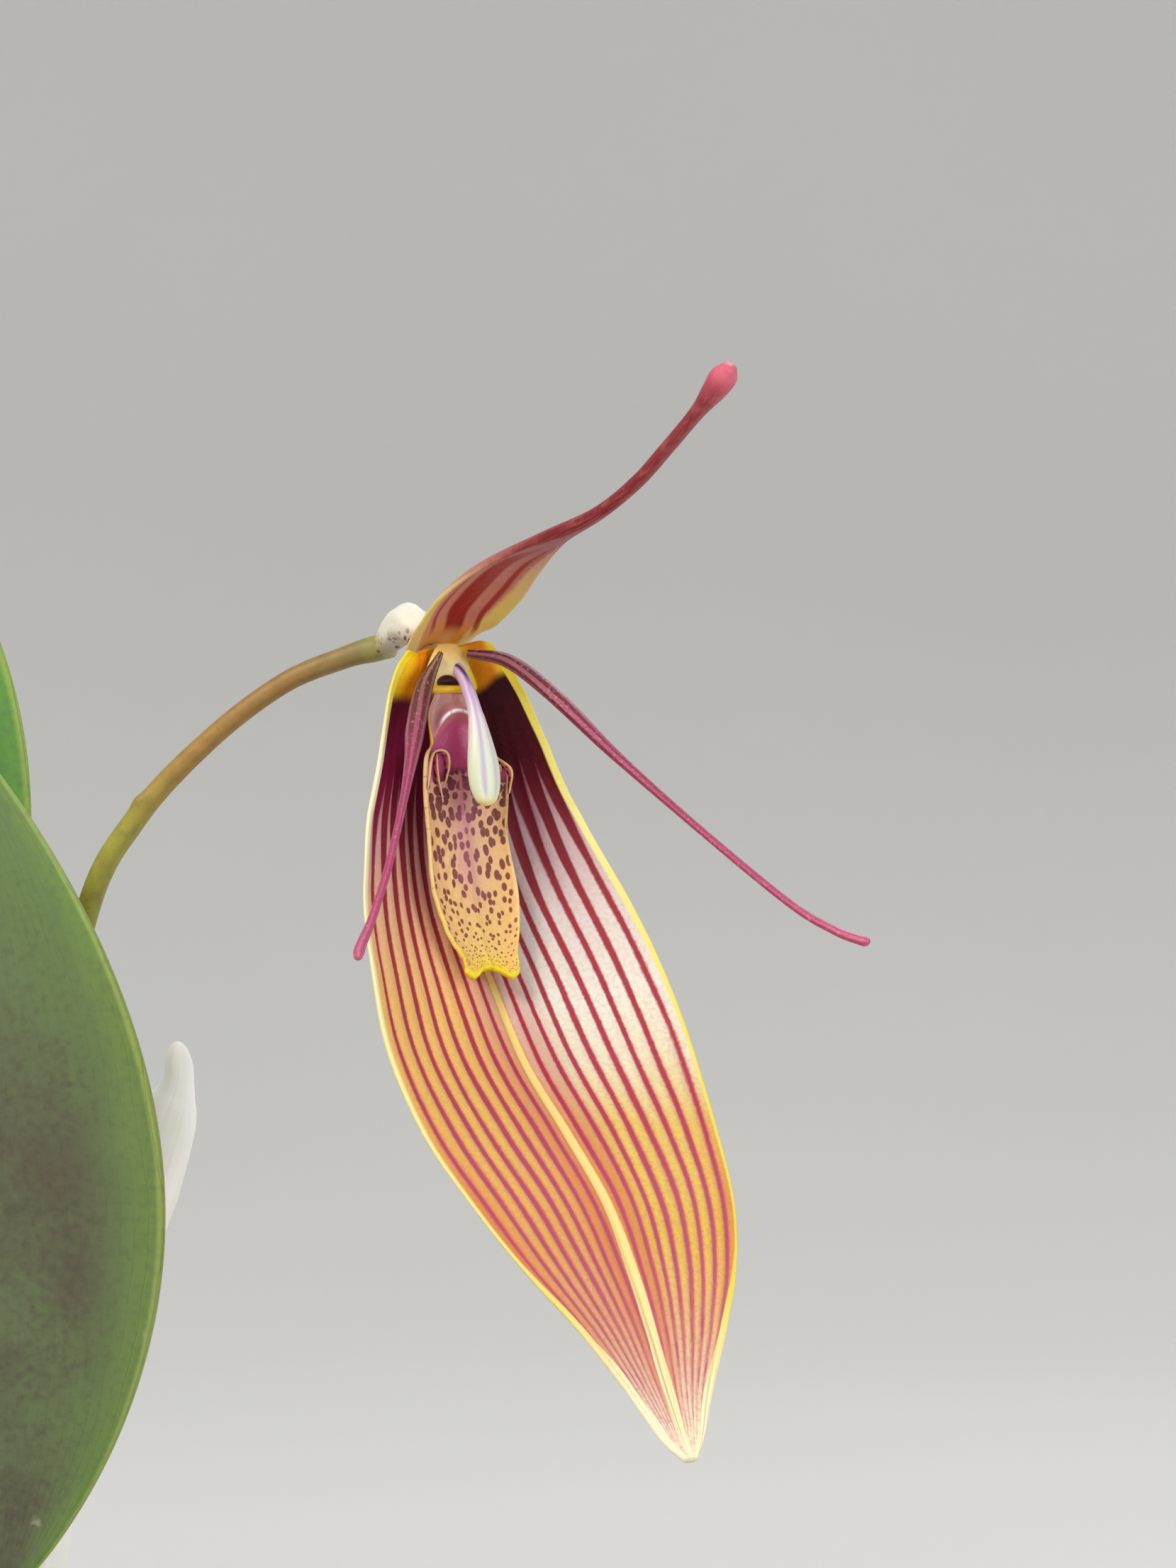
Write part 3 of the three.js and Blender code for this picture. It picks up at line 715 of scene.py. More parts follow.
@dataclass(frozen=True)
class Skin(Finish):
    """A smooth living stem with fine lengthwise lines."""

    colour: str = "6f7c38"
    line: str = "56602c"
    lines: float = 16

    def make(self, d: Dress) -> Dress:
        """Lines round the stem and a soft mottle."""
        across, _ = d.uv()
        mottle = d.noise(d.spot(), 0.8, 3)
        line = ((across * (2 * math.pi * self.lines)).sine() * 0.5 + 0.5) * 0.5
        colour = d.blend((line + mottle * 0.6).step(0.4, 0.9), self.colour, self.line)
        relief = d.bump(line + mottle * 0.4, 0.08, 0.5)
        return d.coat(colour, 0.5 + mottle * 0.1, relief)


@dataclass(frozen=True)
class Paper(Finish):
    """A dry papery sheath with fibres and freckles."""

    body: str = "c9b88c"
    shade: str = "8d7646"
    freckle: str = "6e5230"
    freckles: float = 0.5
    relief: float = 0.14
    # glow: how strongly the sheath shines in its own colour, which is painted light.
    glow: float = 0

    def make(self, d: Dress) -> Dress:
        """Fibres along the sheath, freckles across it."""
        across, along = d.uv()
        where = d.spot()
        fibre = d.noise(d.vector(across * 46, along * 1.2), 1, 3)
        cloud = d.noise(where, 0.35, 3)
        dots = 1 - d.cells(d.stretched(where, (1, 1, 0.7)), 2.1).step(0.16, 0.3)
        colour = d.layers(
            self.shade, ((fibre * 0.6 + cloud * 0.5).step(0.42, 0.7), self.body),
            (dots * self.freckles, self.freckle))
        relief = d.bump(fibre + cloud * 0.4, self.relief, 0.8)
        return d.coat(colour, 0.62 + fibre * 0.15, relief, soft=0.12, depth=0.6, glow=self.glow)


@dataclass(frozen=True)
class LeafSkin(Finish):
    """A leathery leaf: soft mottle, a grooved midrib and a bright margin."""

    deep: str = "3f5a2a"
    middle: str = "55752f"
    band: str = "6f8f3a"
    margin: str = "9db455"
    dusk: str = "52433c"
    dusk_share: float = 0.3
    veins: float = 15
    under: bool = False

    def make(self, d: Dress) -> Dress:
        """Colour across the blade, dusk in its middle and a few pale specks."""
        across, t = d.uv()
        side = across * 2 - 1
        s = abs(side)
        where = d.spot()
        cloud = d.noise(where, 0.14, 4)
        fine = d.noise(where, 2.4, 4)
        wander = (cloud - 0.5) * 0.24
        colour = d.ramp(s + wander, [
            (0.05, self.deep), (0.6, self.middle), (0.78, self.middle), (0.93, self.band)])
        greyer = (cloud * 0.6 + fine * 0.4).step(0.42, 0.6)
        dusk = ((1 - (s + wander * 0.8).step(0.52, 0.96))
                * (1 - (t + wander * 1.4).step(0.56, 0.86)))
        dusk = dusk * (cloud + fine * 0.4).step(0.3, 0.9) * self.dusk_share
        wave = ((side * self.veins + (cloud - 0.5) * 1.6) * math.pi).sine()
        thin = abs(wave).step(0, 0.3)
        rim = s.step(0.955, 0.985)
        speck = d.cells(d.stretched(where, (1, 1, 0.6)), 0.24)
        scuff = (1 - speck.step(0.04, 0.1)) * fine.step(0.42, 0.6)
        colour = d.layers(
            colour, (greyer * 0.35, "6b7f56"), (dusk, self.dusk), ((1 - thin) * 0.03, self.margin),
            (s.hill(0, 0.045) * 0.45, self.margin), (rim * 0.8, self.margin),
            (scuff * 0.6, "c3c7a8"), (fine.step(0.45, 0.75) * 0.16, "2c3a1c"))
        relief = d.bump(thin * 0.25 + fine * 0.5 + cloud * 0.8, 0.14, 0.5)
        rough = 0.62 if self.under else 0.38
        return d.coat(colour, rough + fine * 0.14, relief, gloss=0.4)


@dataclass(frozen=True)
class StalkSkin(Finish):
    """The flower's stalk: golden olive, greener at both ends."""

    def make(self, d: Dress) -> Dress:
        """Colour along the stalk, a soft mottle and a few dark dots."""
        _, t = d.uv()
        where = d.spot()
        mottle = d.noise(where, 1.5, 4)
        # The yellow-green stretch from 0.3 to 0.46 is painted brighter than the stalk's own
        # colour, to make up for the shade that falls on it.
        colour = d.ramp(t, [
            (0.3, "a4a640"), (0.46, "a8a440"), (0.56, "a9823c"), (0.7, "9c763a"), (0.84, "8c7c46"),
            (0.94, "97994f"), (1, "b9b27c")])
        dots = 1 - d.cells(where, 3.6).step(0.1, 0.2)
        colour = d.layers(colour, (mottle.step(0.4, 0.7) * 0.3, "6e5426"), (dots * 0.35, "553a20"))
        return d.coat(colour, 0.42 + mottle * 0.14, d.bump(mottle, 0.06, 0.5))


@dataclass(frozen=True)
class OvarySkin(Finish):
    """The ovary: cream with maroon freckles that crowd on its lower part."""

    cream: str = "eeeada"
    green: str = "b9b170"
    freckle: str = "6c2f2a"

    def make(self, d: Dress) -> Dress:
        """Freckles by cells, greenish towards the stalk."""
        _, along = d.uv()
        where = d.place()
        _, _, up = d.split(where)
        cell = d.cells(where, 2.6, 0.9)
        crowd = 1 - (up - along * 0.9 + 0.1).step(0.5, 1.5)
        freckle = (1 - cell.step(0.24, 0.44)) * (crowd * 0.95 + 0.05)
        # Where the freckles crowd, a brownish tint darkens the lower part: the freckles' own
        # crowding, and painted shade.
        colour = d.layers(
            self.green, (along.step(0.05, 0.35), self.cream), (crowd * 0.7, "a08068"),
            (freckle, self.freckle))
        fine = d.noise(where, 4)
        return d.coat(colour, 0.4 + fine * 0.1, d.bump(fine, 0.06, 0.5), soft=0.15, depth=0.6)


# Colours down the tongue's left and right halves.
GAP_COLOURS: Halves = (
    ((0.24, "a0506c"), (0.31, "d9a0a0"), (0.38, "ecb890"), (0.46, "f0bc6c"), (0.56, "e6b85a"),
     (0.68, "dfa658"), (0.77, "dca078"), (0.85, "e6bca8"), (0.94, "f3e2cc")),
    ((0.24, "8e4a62"), (0.3, "c8a6ac"), (0.38, "ddd0cc"), (0.45, "ebe6da"), (0.51, "e9dfc0"),
     (0.57, "e4c566"), (0.68, "e5bf4c"), (0.76, "e5b878"), (0.84, "e6bfa4"), (0.94, "f3e6ca")))
# Stripe colours by half; the purplish dark throat of the left half is painted sheen, a reflection
# laid into the stripes' own maroon.
STRIPE_AND_SHEEN_COLOURS: Halves = (
    ((0.12, "4e0418"), (0.2, "6c0630"), (0.3, "7e062c"), (0.4, "981232"), (0.5, "a82c50"),
     (0.6, "b04468"), (0.75, "b8586e"), (1, "d08c84")),
    ((0.12, "2a0106"), (0.22, "40000a"), (0.3, "78021c"), (0.38, "980426"), (0.47, "a61238"),
     (0.55, "b03054"), (0.64, "b64a6c"), (0.8, "ba5c74"), (1, "cc8c8c")))
RIM_COLOURS: Halves = (
    ((0.02, "f4d420"), (0.13, "f2e260"), (0.22, "f6f0d0"), (0.5, "f2e8a8"), (0.75, "f0de7c"),
     (0.88, "f5eecb")),
    ((0.02, "f4cc1c"), (0.12, "f0df50"), (0.3, "f3ec9c"), (0.5, "efe070"), (0.75, "eed860"),
     (0.88, "f3ecc4")))


@dataclass(frozen=True)
class StripedSepal(Finish):
    """The broad tongue: stripes that run from a dark throat to a pale tip."""

    stripes: float = 8.7
    bunching: float = 1.1
    pale: float = 0

    def halves(self, d: Dress, t: Wire, right: Wire, stops: Halves) -> Wire:
        """Colour down each half."""
        return d.blend(right, *(d.ramp(t, half) for half in stops))

    def make(self, d: Dress) -> Dress:
        """Stripes, keel, margins and the orange throat."""
        across, t = d.uv()
        side = 1 - across * 2
        s = abs(side)
        right = side.step(-0.03, 0.03)
        slow = d.noise(d.vector(side * 4, t * 5))
        fine = d.noise(d.place(), 5, 3)
        q = (s ** (1 / self.bunching)) * self.stripes + (slow - 0.5) * 0.45
        first = q.step(0.5, 0.6)
        off = abs((q + 0.5).fraction() - 0.5) * (first * 0.5 + 0.5)
        starts = d.noise(d.vector(q * 0.9, right * 7), 1, 0) - 0.5
        opening = t + starts * 0.14 + (fine - 0.5) * 0.02
        width = d.ramp(opening, [
            (0.2, 0.7), (0.25, 0.47), (0.29, 0.34), (0.34, 0.22), (0.42, 0.16), (0.55, 0.155),
            (0.8, 0.155), (0.92, 0.09), (1, 0)])
        width = width * (1 - s.step(0.72, 1) * 0.3) + (slow - 0.5) * 0.08 + (fine - 0.5) * 0.08
        stripe = 1 - off.step(width - 0.07, width + 0.06 + t.step(0.45, 0.6) * 0.05)
        dashes = d.noise(d.vector(q * 1.7, t * 34), 1, 1)
        stripe = stripe * (1 - t.step(0.7, 0.92) * dashes.step(0.36, 0.56) * 0.96)
        stripe = stripe * (1 - t.step(0.84, 0.98) * 0.6)
        gap = self.halves(d, t + (slow - 0.5) * 0.07, right, GAP_COLOURS)
        # Sparkle is painted highlight: pale glints strewn over the outer part of the tongue.
        sparkle = (1 - d.cells(d.place(), 7).step(0.1, 0.25)) * t.step(0.3, 0.5)
        mauve = (1 - s.step(0.1, 0.34)) * t.step(0.3, 0.4) * (1 - t.step(0.86, 0.95))
        blush = d.ramp(t, [(0.4, "cfa49c"), (0.5, "cf8a70"), (0.62, "d4734c"), (0.8, "d87c60")])
        fringe = s.step(0.76, 0.97) * t.step(0.5, 0.66) * (1 - t.step(0.84, 0.92))
        halo = (1 - off.step(width, width + 0.26)) * t.step(0.44, 0.58) * (1 - t.step(0.78, 0.9))
        gap = d.layers(
            gap, (fine.step(0.4, 0.7) * (0.25 + t.step(0.5, 0.62) * 0.2), "cf9480"),
            (sparkle * 0.35, "fff4dc"), (mauve * 0.7, blush), (fringe * 0.5, "d4643c"),
            (halo * 0.42, "cc6a58"))
        colour = d.blend(stripe * 0.94, gap, self.halves(d, t, right, STRIPE_AND_SHEEN_COLOURS))
        colour = self.edges(d, colour, s, t, right)
        if self.pale:
            colour = d.blend(self.pale, colour, "e8cfae")
        relief = d.bump(fine + d.noise(d.place(), 1.6, 3), 0.08, 0.5)
        return d.coat(colour, 0.46 + fine * 0.1, relief, soft=0.05, gloss=0.09)

    def edges(self, d: Dress, colour: Wire, s: Wire, t: Wire, right: Wire) -> Wire:
        """Orange shoulders over the throat, the pale keel and the yellow margins.

        Args:
            d: the material.
            colour: the colour so far.
            s: distance from the keel, 0 to 1.
            t: place along the sepal.
            right: 1 on the right half.

        Returns:
            The colour with them.
        """
        end = 0.146 - right * (s.step(0.4, 0.9) * 0.04 + 0.012)
        shoulder = 1 - t.step(end - 0.016, end + 0.008)
        amber = d.ramp(s, [
            (0.15, "ead9a0"), (0.33, "eec238"), (0.5, "e8981c"), (0.72, "df8410"),
            (0.84, "f2c01a")])
        keel_width = d.ramp(t, [
            (0.3, 0.014), (0.5, 0.022), (0.66, 0.034), (0.8, 0.07), (0.92, 0.17), (1, 0.36)])
        keel = 1 - s.step(keel_width, keel_width * 1.2 + 0.006)
        keel_colour = d.ramp(t, [(0.4, "efcf78"), (0.7, "f2dc94"), (0.95, "f3ecc8")])
        colour = d.layers(colour, (shoulder, amber), (keel * t.step(0.3, 0.4), keel_colour))
        width = d.ramp(t, [
            (0, 0.17), (0.1, 0.11), (0.2, 0.06), (0.32, 0.038), (0.5, 0.02), (0.7, 0.026),
            (0.8, 0.1), (0.9, 0.26), (1, 0.5)])
        width = width * (0.72 + (right + t.step(0.72, 0.85)).least(1) * 0.28)
        rim = s.step(1 - width - 0.012, 1 - width + 0.006)
        return d.blend(rim, colour, self.halves(d, t, right, RIM_COLOURS))


@dataclass(frozen=True)
class DorsalTissue(Finish):
    """The top sepal: three dark stripes at its base, a maroon thread and a pink club."""

    def make(self, d: Dress) -> Dress:
        """Stripes across the blade, colours along the thread."""
        across, t = d.uv()
        side = across * 2 - 1
        s = abs(side)
        fine = d.noise(d.place(), 4, 3)
        ground = d.ramp(t, [
            (0, "e9a01c"), (0.04, "e3953c"), (0.09, "cc7c6c"), (0.25, "b8746a"),
            (0.36, "9c4248")])
        rolled = side - (1 - t.step(0.03, 0.12)) * 0.2
        middle = 1 - abs(rolled).step(0.2, 0.32)
        outer = 1 - abs(abs(rolled) - 0.6).step(0.03, 0.1)
        lines = middle.most(outer * 0.85) * t.step(0.02, 0.06)
        cream = d.ramp(t, [(0, "eed48c"), (0.12, "e6cc68"), (0.3, "cfae8c")])
        ground = d.blend(fine.step(0.4, 0.7) * 0.2, ground, "d8a488")
        fade = t * (1.25 - side.step(-0.1, 0.1) * 0.75)
        tail = d.ramp(t, [
            (0.26, "7e1a26"), (0.5, "84222c"), (0.78, "96323e"), (0.88, "c04a60"),
            (0.95, "dc6880")])
        streak = d.noise(d.vector(side * 6, t * 30))
        tail = d.blend(streak.step(0.45, 0.7) * 0.35, tail, "c8766c")
        colour = d.layers(
            ground, ((s - fade + fine * 0.06).step(0.62, 0.76), cream), (lines * 0.96, "94040a"),
            (t.step(0.27, 0.4), tail))
        relief = d.bump(fine + streak * 0.5, 0.06, 0.6)
        return d.coat(colour, 0.36 + fine * 0.15, relief, soft=0.1, gloss=0.35)


@dataclass(frozen=True)
class ThreadTissue(Finish):
    """A petal: finely striped at its base, magenta towards its club."""

    base: str = "94505a"
    middle: str = "a45e68"
    dark: str = "48101a"

    def make(self, d: Dress) -> Dress:
        """Stripes round the thread that fade along it."""
        turn, t = d.uv()
        wobble = d.noise(d.vector(turn * 4, t * 6), 1, 1)
        line = ((turn * 12 + wobble * 1.2) * math.pi).sine() * 0.5 + 0.5
        ground = d.ramp(t, [
            (0, self.base), (0.14, self.middle), (0.3, "a8506c"), (0.6, "bc4874"),
            (0.86, "c4567c"), (1, "d46486")])
        dark = d.ramp(t, [(0, self.dark), (0.25, "661026"), (0.5, "8c1e4a"), (0.9, "a23260")])
        share = line.step(0.35, 0.65) * (0.9 - t.step(0.2, 0.6) * 0.4)
        fine = d.noise(d.place(), 6, 3)
        colour = d.layers(ground, (share, dark), (fine.step(0.58, 0.7) * 0.3, "e8b0b4"))
        relief = d.bump(line * 0.6 + fine, 0.05, 0.8)
        return d.coat(colour, 0.3 + fine * 0.2, relief, soft=0.08)


@dataclass(frozen=True)
class LipTissue(Finish):
    """The lip: plain magenta above, then a net of maroon spots that shrink to dots."""

    def spots(self, d: Dress, t: Wire, side: Wire) -> Wire:
        """Spots by flat cells, each of its own size.

        Args:
            d: the material.
            t: place along the lip.
            side: place across it, -1 to 1.

        Returns:
            How much of a spot lies there.
        """
        sway = d.noise(d.vector(side * 2, t * 8), 1, 1) - 0.5
        crowd = d.vector(side * (4.3 + t * 2.8) + sway * 0.8, t * 20 + t * t * 12 + sway * 0.7)
        cell = d.cells(crowd, 1, 0.92, flat=True)
        pick, _, _ = d.split(d.cells(crowd, 1, 0.92, out="Color", flat=True))
        size = d.ramp(t, [(0.3, 0.6), (0.4, 0.5), (0.5, 0.38), (0.6, 0.34), (0.8, 0.26), (1, 0.2)])
        size = size * (0.78 + pick * 0.4) - t.step(0.62, 0.9) * pick.step(0.35, 0.75) * 0.1
        chain = abs(abs(side) - 0.42).step(0.05, 0.2) * t.step(0.6, 0.75)
        size = size - chain * 0.03
        size = size + abs(side).step(0.5, 0.75) * (1 - t.step(0.42, 0.54)) * 0.14
        return (1 - cell.step(size - 0.06, size + 0.04)) * t.step(0.29, 0.34)

    def make(self, d: Dress) -> Dress:
        """Spots over a peach ground, plum above, bright yellow below."""
        across, t = d.uv()
        side = 1 - across * 2
        s = abs(side)
        fine = d.noise(d.place(), 6, 3)
        spot = self.spots(d, t, side)
        ground = d.ramp(t, [
            (0.3, "c4708c"), (0.4, "d09a94"), (0.5, "dfae88"), (0.65, "e8bc7c"), (0.85, "ecc66c"),
            (0.93, "f0cc3c")])
        golden = s.step(0.35, 0.85) * t.step(0.36, 0.5)
        centre = (1 - s.step(0.1, 0.4)) * t.step(0.34, 0.42) * (1 - t.step(0.6, 0.75))
        ground = d.layers(
            ground, (golden * 0.6, "eebc74"), (centre * 0.6, "d08c92"),
            (fine.step(0.4, 0.75) * 0.2, "d08c6c"))
        dot = d.ramp(t, [(0.33, "4c061a"), (0.45, "680e22"), (0.65, "7c2228"), (1, "9a4c30")])
        dot = d.blend(centre * 0.8, dot, "8e3c58")
        top = 1 - (t - s * 0.06 + (fine - 0.5) * 0.02).step(0.3, 0.36)
        brow = t - s * s * 0.11
        # The plum is the lip's own colour, painted lighter than it is to make up for the shade
        # that falls there: partly painted light.
        plum = d.ramp(brow, [
            (0.02, "c8908a"), (0.085, "c07a80"), (0.11, "c06474"), (0.15, "c24e80"),
            (0.3, "bc4a7c")])
        # The glint is a painted highlight: white laid along the crest of the brow.
        glint = brow.hill(0.092, 0.014) * (1 - s.step(0.56, 0.76))
        glint = glint * d.noise(d.vector(side * 5, 0), 1, 1).step(0.3, 0.5)
        rim = (s - (1 - t.step(0.1, 0.3)) * 0.03).step(0.935, 0.965)
        rim_colour = d.ramp(t, [
            (0.1, "e0a050"), (0.2, "ecb83c"), (0.32, "ecc08c"), (0.6, "f0cf90"), (0.93, "f0d03c")])
        colour = d.layers(
            ground, (spot * (1 - t.step(0.95, 0.99)) * 0.94, dot),
            (s.hill(0, 0.07) * t.step(0.33, 0.36) * (1 - t.step(0.5, 0.58)), "d98c98"),
            (top, plum), (glint, "ffffff"), (rim, rim_colour),
            ((t + s * 0.01).step(0.972, 0.985), "f4dc1c"))
        relief = d.bump(spot * -0.8 + fine * 0.5, 0.07, 0.7)
        rough = 0.2 + t.step(0.25, 0.45) * 0.2 + fine * 0.08
        return d.coat(colour, rough, relief, soft=0.1, depth=0.5)


@dataclass(frozen=True)
class RimTissue(Finish):
    """The translucent rims of the lip's ears: peach above, maroon cells below."""

    def make(self, d: Dress) -> Dress:
        """Colour by the height on the flap."""
        height, along = d.uv()
        cell = d.cells(d.vector(height * 1.5, along * 9), 1, 0.7, flat=True)
        dark = (1 - cell.step(0.3, 0.42)) * (1 - height.step(0.6, 0.8))
        colour = d.blend(dark, d.ramp(height, [(0.4, "c07078"), (0.85, "f0bc94")]), "5c0f26")
        return d.coat(colour, 0.25, soft=0.15, depth=0.5)


@dataclass(frozen=True)
class ColumnTissue(Finish):
    """The column: a lavender neck that opens into a pale club with soft stripes."""

    def make(self, d: Dress) -> Dress:
        """Soft lengthwise stripes, paler and greener down the club."""
        turn, t = d.uv()
        fine = d.noise(d.place(), 4)
        ground = d.ramp(t, [
            (0, "c8a4cc"), (0.28, "d0b4d4"), (0.42, "e6dcdc"), (0.6, "e2e8d4"), (0.85, "e9efd0"),
            (0.95, "f2eaa0")])
        green = turn.hill(0.09, 0.08) * t.step(0.45, 0.6) * (1 - t.step(0.85, 0.95))
        ground = d.blend(green * 0.4, ground, "c3d6a8")
        lilac = (turn.hill(0.19, 0.05) * 0.65).most(turn.hill(0.32, 0.045) * 0.35)
        streak = (turn - t * 0.6).hill(0.15, 0.11) * (1 - t.step(0.12, 0.26))
        colour = d.layers(
            ground, (lilac * (1 - t.step(0.78, 0.93)), "b79fd6"),
            (streak * t.step(0, 0.03), "431238"))
        return d.coat(colour, 0.34 + fine * 0.1, d.bump(fine, 0.04, 0.4), soft=0.2, depth=0.6)


@dataclass(frozen=True)
class FootTissue(Finish):
    """The column's foot: cream above, a half-moon hollow painted dark as its shade, and a yellow
    rim below.
    """

    hollow: tuple[float, float] = (-0.62, -1.02)
    hollow_size: tuple[float, float] = (0.62, 0.5)

    def make(self, d: Dress) -> Dress:
        """Colours by place in the flower's frame."""
        x, _, z = d.split(d.place())
        fine = d.noise(d.place(), 4)
        colour = d.ramp((z + 1.6) / 2.4, [
            (0.05, "f2b80c"), (0.2, "f4cc24"), (0.27, "efd060"), (0.5, "eedb9a"), (0.9, "e2b85c")])
        glow = x.step(0.35, 0.85) * (1 - z.step(-0.35, 0.2))
        dx = (x - self.hollow[0]) / self.hollow_size[0]
        dz = (z - self.hollow[1]) / self.hollow_size[1]
        # The half-moon is painted shade: dark maroon laid in the hollow.
        moon = 1 - (dx * dx + dz * dz).step(0.86, 1.1)
        moon = moon * dz.step(-0.08, 0.04)
        colour = d.layers(colour, (glow, "f2c81e"), (moon, "4a0a10"))
        return d.coat(colour, 0.35 + fine * 0.1, d.bump(fine, 0.04, 0.4), soft=0.15, depth=0.6)


@dataclass(frozen=True)
class StudioPaint(Finish):
    """The pale matt surface of floor and backdrop."""

    grey: str = "dcdcda"

    def make(self, d: Dress) -> Dress:
        """One even colour with the faintest cloud."""
        cloud = d.noise(d.spot(), 0.004)
        colour = d.blend(cloud, self.grey, "e2e1de")
        return d.coat(colour, 0.9)


# Pieces of the plant and its pot.


class Slot(Enum):
    """The record's material slots."""

    CLAY = "clay"
    BARK = "bark"
    ROOT = "root"
    SHEATH = "sheath"
    LEAF = "leaf"
    PAPER = "paper_sheath"
    STALK = "stalk"
    OVARY = "ovary_cream"
    SEPAL = "striped_sepal"
    DORSAL = "dorsal_tissue"
    THREAD = "thread"
    LIP = "lip_tissue"
    COLUMN = "column_tissue"


def hand_over(piece: Piece, slot: Slot, *nodes: str) -> None:
    """Fixes a finished piece to the part, in place of its solids, and reports it.

    Args:
        piece: the finished object.
        slot: the record's material slot; not used.
        nodes: the solids that it stands for.
    """
    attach(piece, BODY)
    if nodes:
        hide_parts(*nodes)
    LOG.info("%s: %d faces for %s", piece.name, len(piece.data.polygons),
             ", ".join(nodes) or "no solid of its own")


@dataclass
class Pot:
    """A plain flower pot with a heavy rim and drain holes."""

    height: float = 72
    rim_radius: float = 40
    rim_height: float = 14
    shoulder_radius: float = 36.5
    foot_radius: float = 27
    mouth_radius: float = 36
    well_radius: float = 23.5
    floor: float = 5
    holes: int = 5
    hole_radius: float = 2
    hole_ring: float = 14
    hole_sides: int = 24
    sides: int = 144

    def well_at(self, height: "Array | float") -> "Array | float":
        """Radius of the inner wall at a height."""
        share = (height - self.floor) / (self.height - self.floor)
        return self.well_radius + (self.mouth_radius - self.well_radius) * share

    def outline(self) -> Array:
        """The wall's outline as [radius, height] rows, with its corners rounded."""
        shoulder = self.height - self.rim_height
        corners = [(6, 0, 0), (self.foot_radius, 0, 1.3),
                   (self.shoulder_radius, shoulder, 0.9), (self.rim_radius, shoulder, 1.5),
                   (self.rim_radius, self.height, 1.9), (self.mouth_radius, self.height, 1.5),
                   (self.well_radius, self.floor, 3.0), (6, self.floor, 0)]
        points = np.array([c[:2] for c in corners], float)
        rows = [points[:1]]
        for i in range(1, len(corners) - 1):
            rows.append(rounded_corner(points[i - 1], points[i], points[i + 1], corners[i][2]))
        rows.append(points[-1:])
        return subdivided(np.concatenate(rows), 2.0)

    def build(self) -> None:
        """Turns the wall, drills it and dresses it."""
        rows = self.outline()
        angle = turns(self.sides)
        wave = 0.07 * np.sin(rows[:, 1] * 2.6) + 0.05 * np.sin(rows[:, 1] * 1.1 + 1)
        outside = (np.arange(len(rows)) < len(rows) * 0.55) & (rows[:, 1] > 3)
        radius = (rows[:, 0] + wave * outside)[:, None] * (1 + 0.0012 * np.sin(2 * angle + 0.6))
        height = np.broadcast_to(rows[:, 1:2], radius.shape)
        points = np.stack([radius * np.cos(angle), radius * np.sin(angle), height], -1)
        shape = Shape()
        shape.tube(points, np.linspace(0, 1, len(rows)))
        pot = shape.build("pot_wall", [Terracotta("terracotta")])
        self.drill(pot)
        hand_over(pot, Slot.CLAY, "pot")

    def drill(self, pot: Piece) -> None:
        """Cuts the drain holes."""
        drills = Shape()
        turn = turns(self.hole_sides)
        for hole in range(self.holes):
            angle = 2 * math.pi * hole / self.holes
            x = self.hole_ring * math.cos(angle) + self.hole_radius * np.cos(turn)
            y = self.hole_ring * math.sin(angle) + self.hole_radius * np.sin(turn)
            rings = [np.stack([x, y, np.full_like(turn, z)], -1)
                     for z in (-self.floor, 2 * self.floor)]
            drills.tube(np.stack(rings), np.array([0.0, 1.0]))
        cutter = drills.build("drills", [Terracotta("terracotta")])
        cut = pot.modifiers.new("holes", "BOOLEAN")
        cut.object, cut.operation, cut.solver = cutter, "DIFFERENCE", "EXACT"
        settle(pot)
        bpy.data.objects.remove(cutter)


def rounded_corner(before: Array, corner: Array, after: Array, radius: float) -> Array:
    """A corner's arc as six points, cut back by radius along both edges."""
    start = corner + unit(before - corner) * radius
    end = corner + unit(after - corner) * radius
    w = np.linspace(0, 1, 6)[:, None]
    return (1 - w) ** 2 * start + 2 * w * (1 - w) * corner + w ** 2 * end


def subdivided(points: Array, longest: float) -> Array:
    """A chain of points with more where they lie further apart than longest."""
    rows = [points[:1]]
    for a, b in zip(points[:-1], points[1:]):
        count = max(1, math.ceil(np.linalg.norm(b - a) / longest))
        rows.append(a + (b - a) * (np.arange(1, count + 1) / count)[:, None])
    return np.concatenate(rows)


def strewer(name: str, variants: list[Piece], finish: Finish) -> Rig:
    """A tree that strews shapes over a surface.

    Args:
        name: the tree's name.
        variants: the shapes to pick from.
        finish: what they are dressed in.

    Returns:
        The tree, with spacing, density, size, tilt, sink and seed as inputs.
    """
    rig = Rig(name, {"Spacing": 0.004, "Density": 1e5, "Smallest": 0.8, "Largest": 1.2,
                     "Tilt": 0.3, "Sink": 0.0, "Seed": 1})
    points = rig.node("GeometryNodeDistributePointsOnFaces", {"distribute_method": "POISSON"},
                      {"Mesh": rig["Geometry"], "Distance Min": rig["Spacing"],
                       "Density Max": rig["Density"], "Seed": rig["Seed"]})
    tilt = rig["Tilt"]
    turn = rig.node("FunctionNodeRandomValue", {"data_type": "FLOAT_VECTOR"},
                    {0: rig.vector(tilt * -1, tilt * -1),
                     1: rig.vector(tilt, tilt, 2 * math.pi), "Seed": rig["Seed"]})
    scale = rig.node("FunctionNodeRandomValue", {"data_type": "FLOAT"},
                     {2: rig["Smallest"], 3: rig["Largest"], "Seed": rig["Seed"]}, 1)
    sunk = rig.node("GeometryNodeSetPosition", None,
                    {"Geometry": points, "Offset": rig.vector(0, 0, rig["Sink"] * -1)})
    shapes = [rig.node("GeometryNodeObjectInfo", None, {"Object": v, "As Instance": True},
                       "Geometry") for v in variants]
    pool = rig.node("GeometryNodeJoinGeometry", None, {"Geometry": shapes})
    strewn = rig.node("GeometryNodeInstanceOnPoints", None,
                      {"Points": sunk, "Instance": pool, "Pick Instance": True,
                       "Rotation": turn, "Scale": scale})
    rig.close(strewn, finish)
    return rig


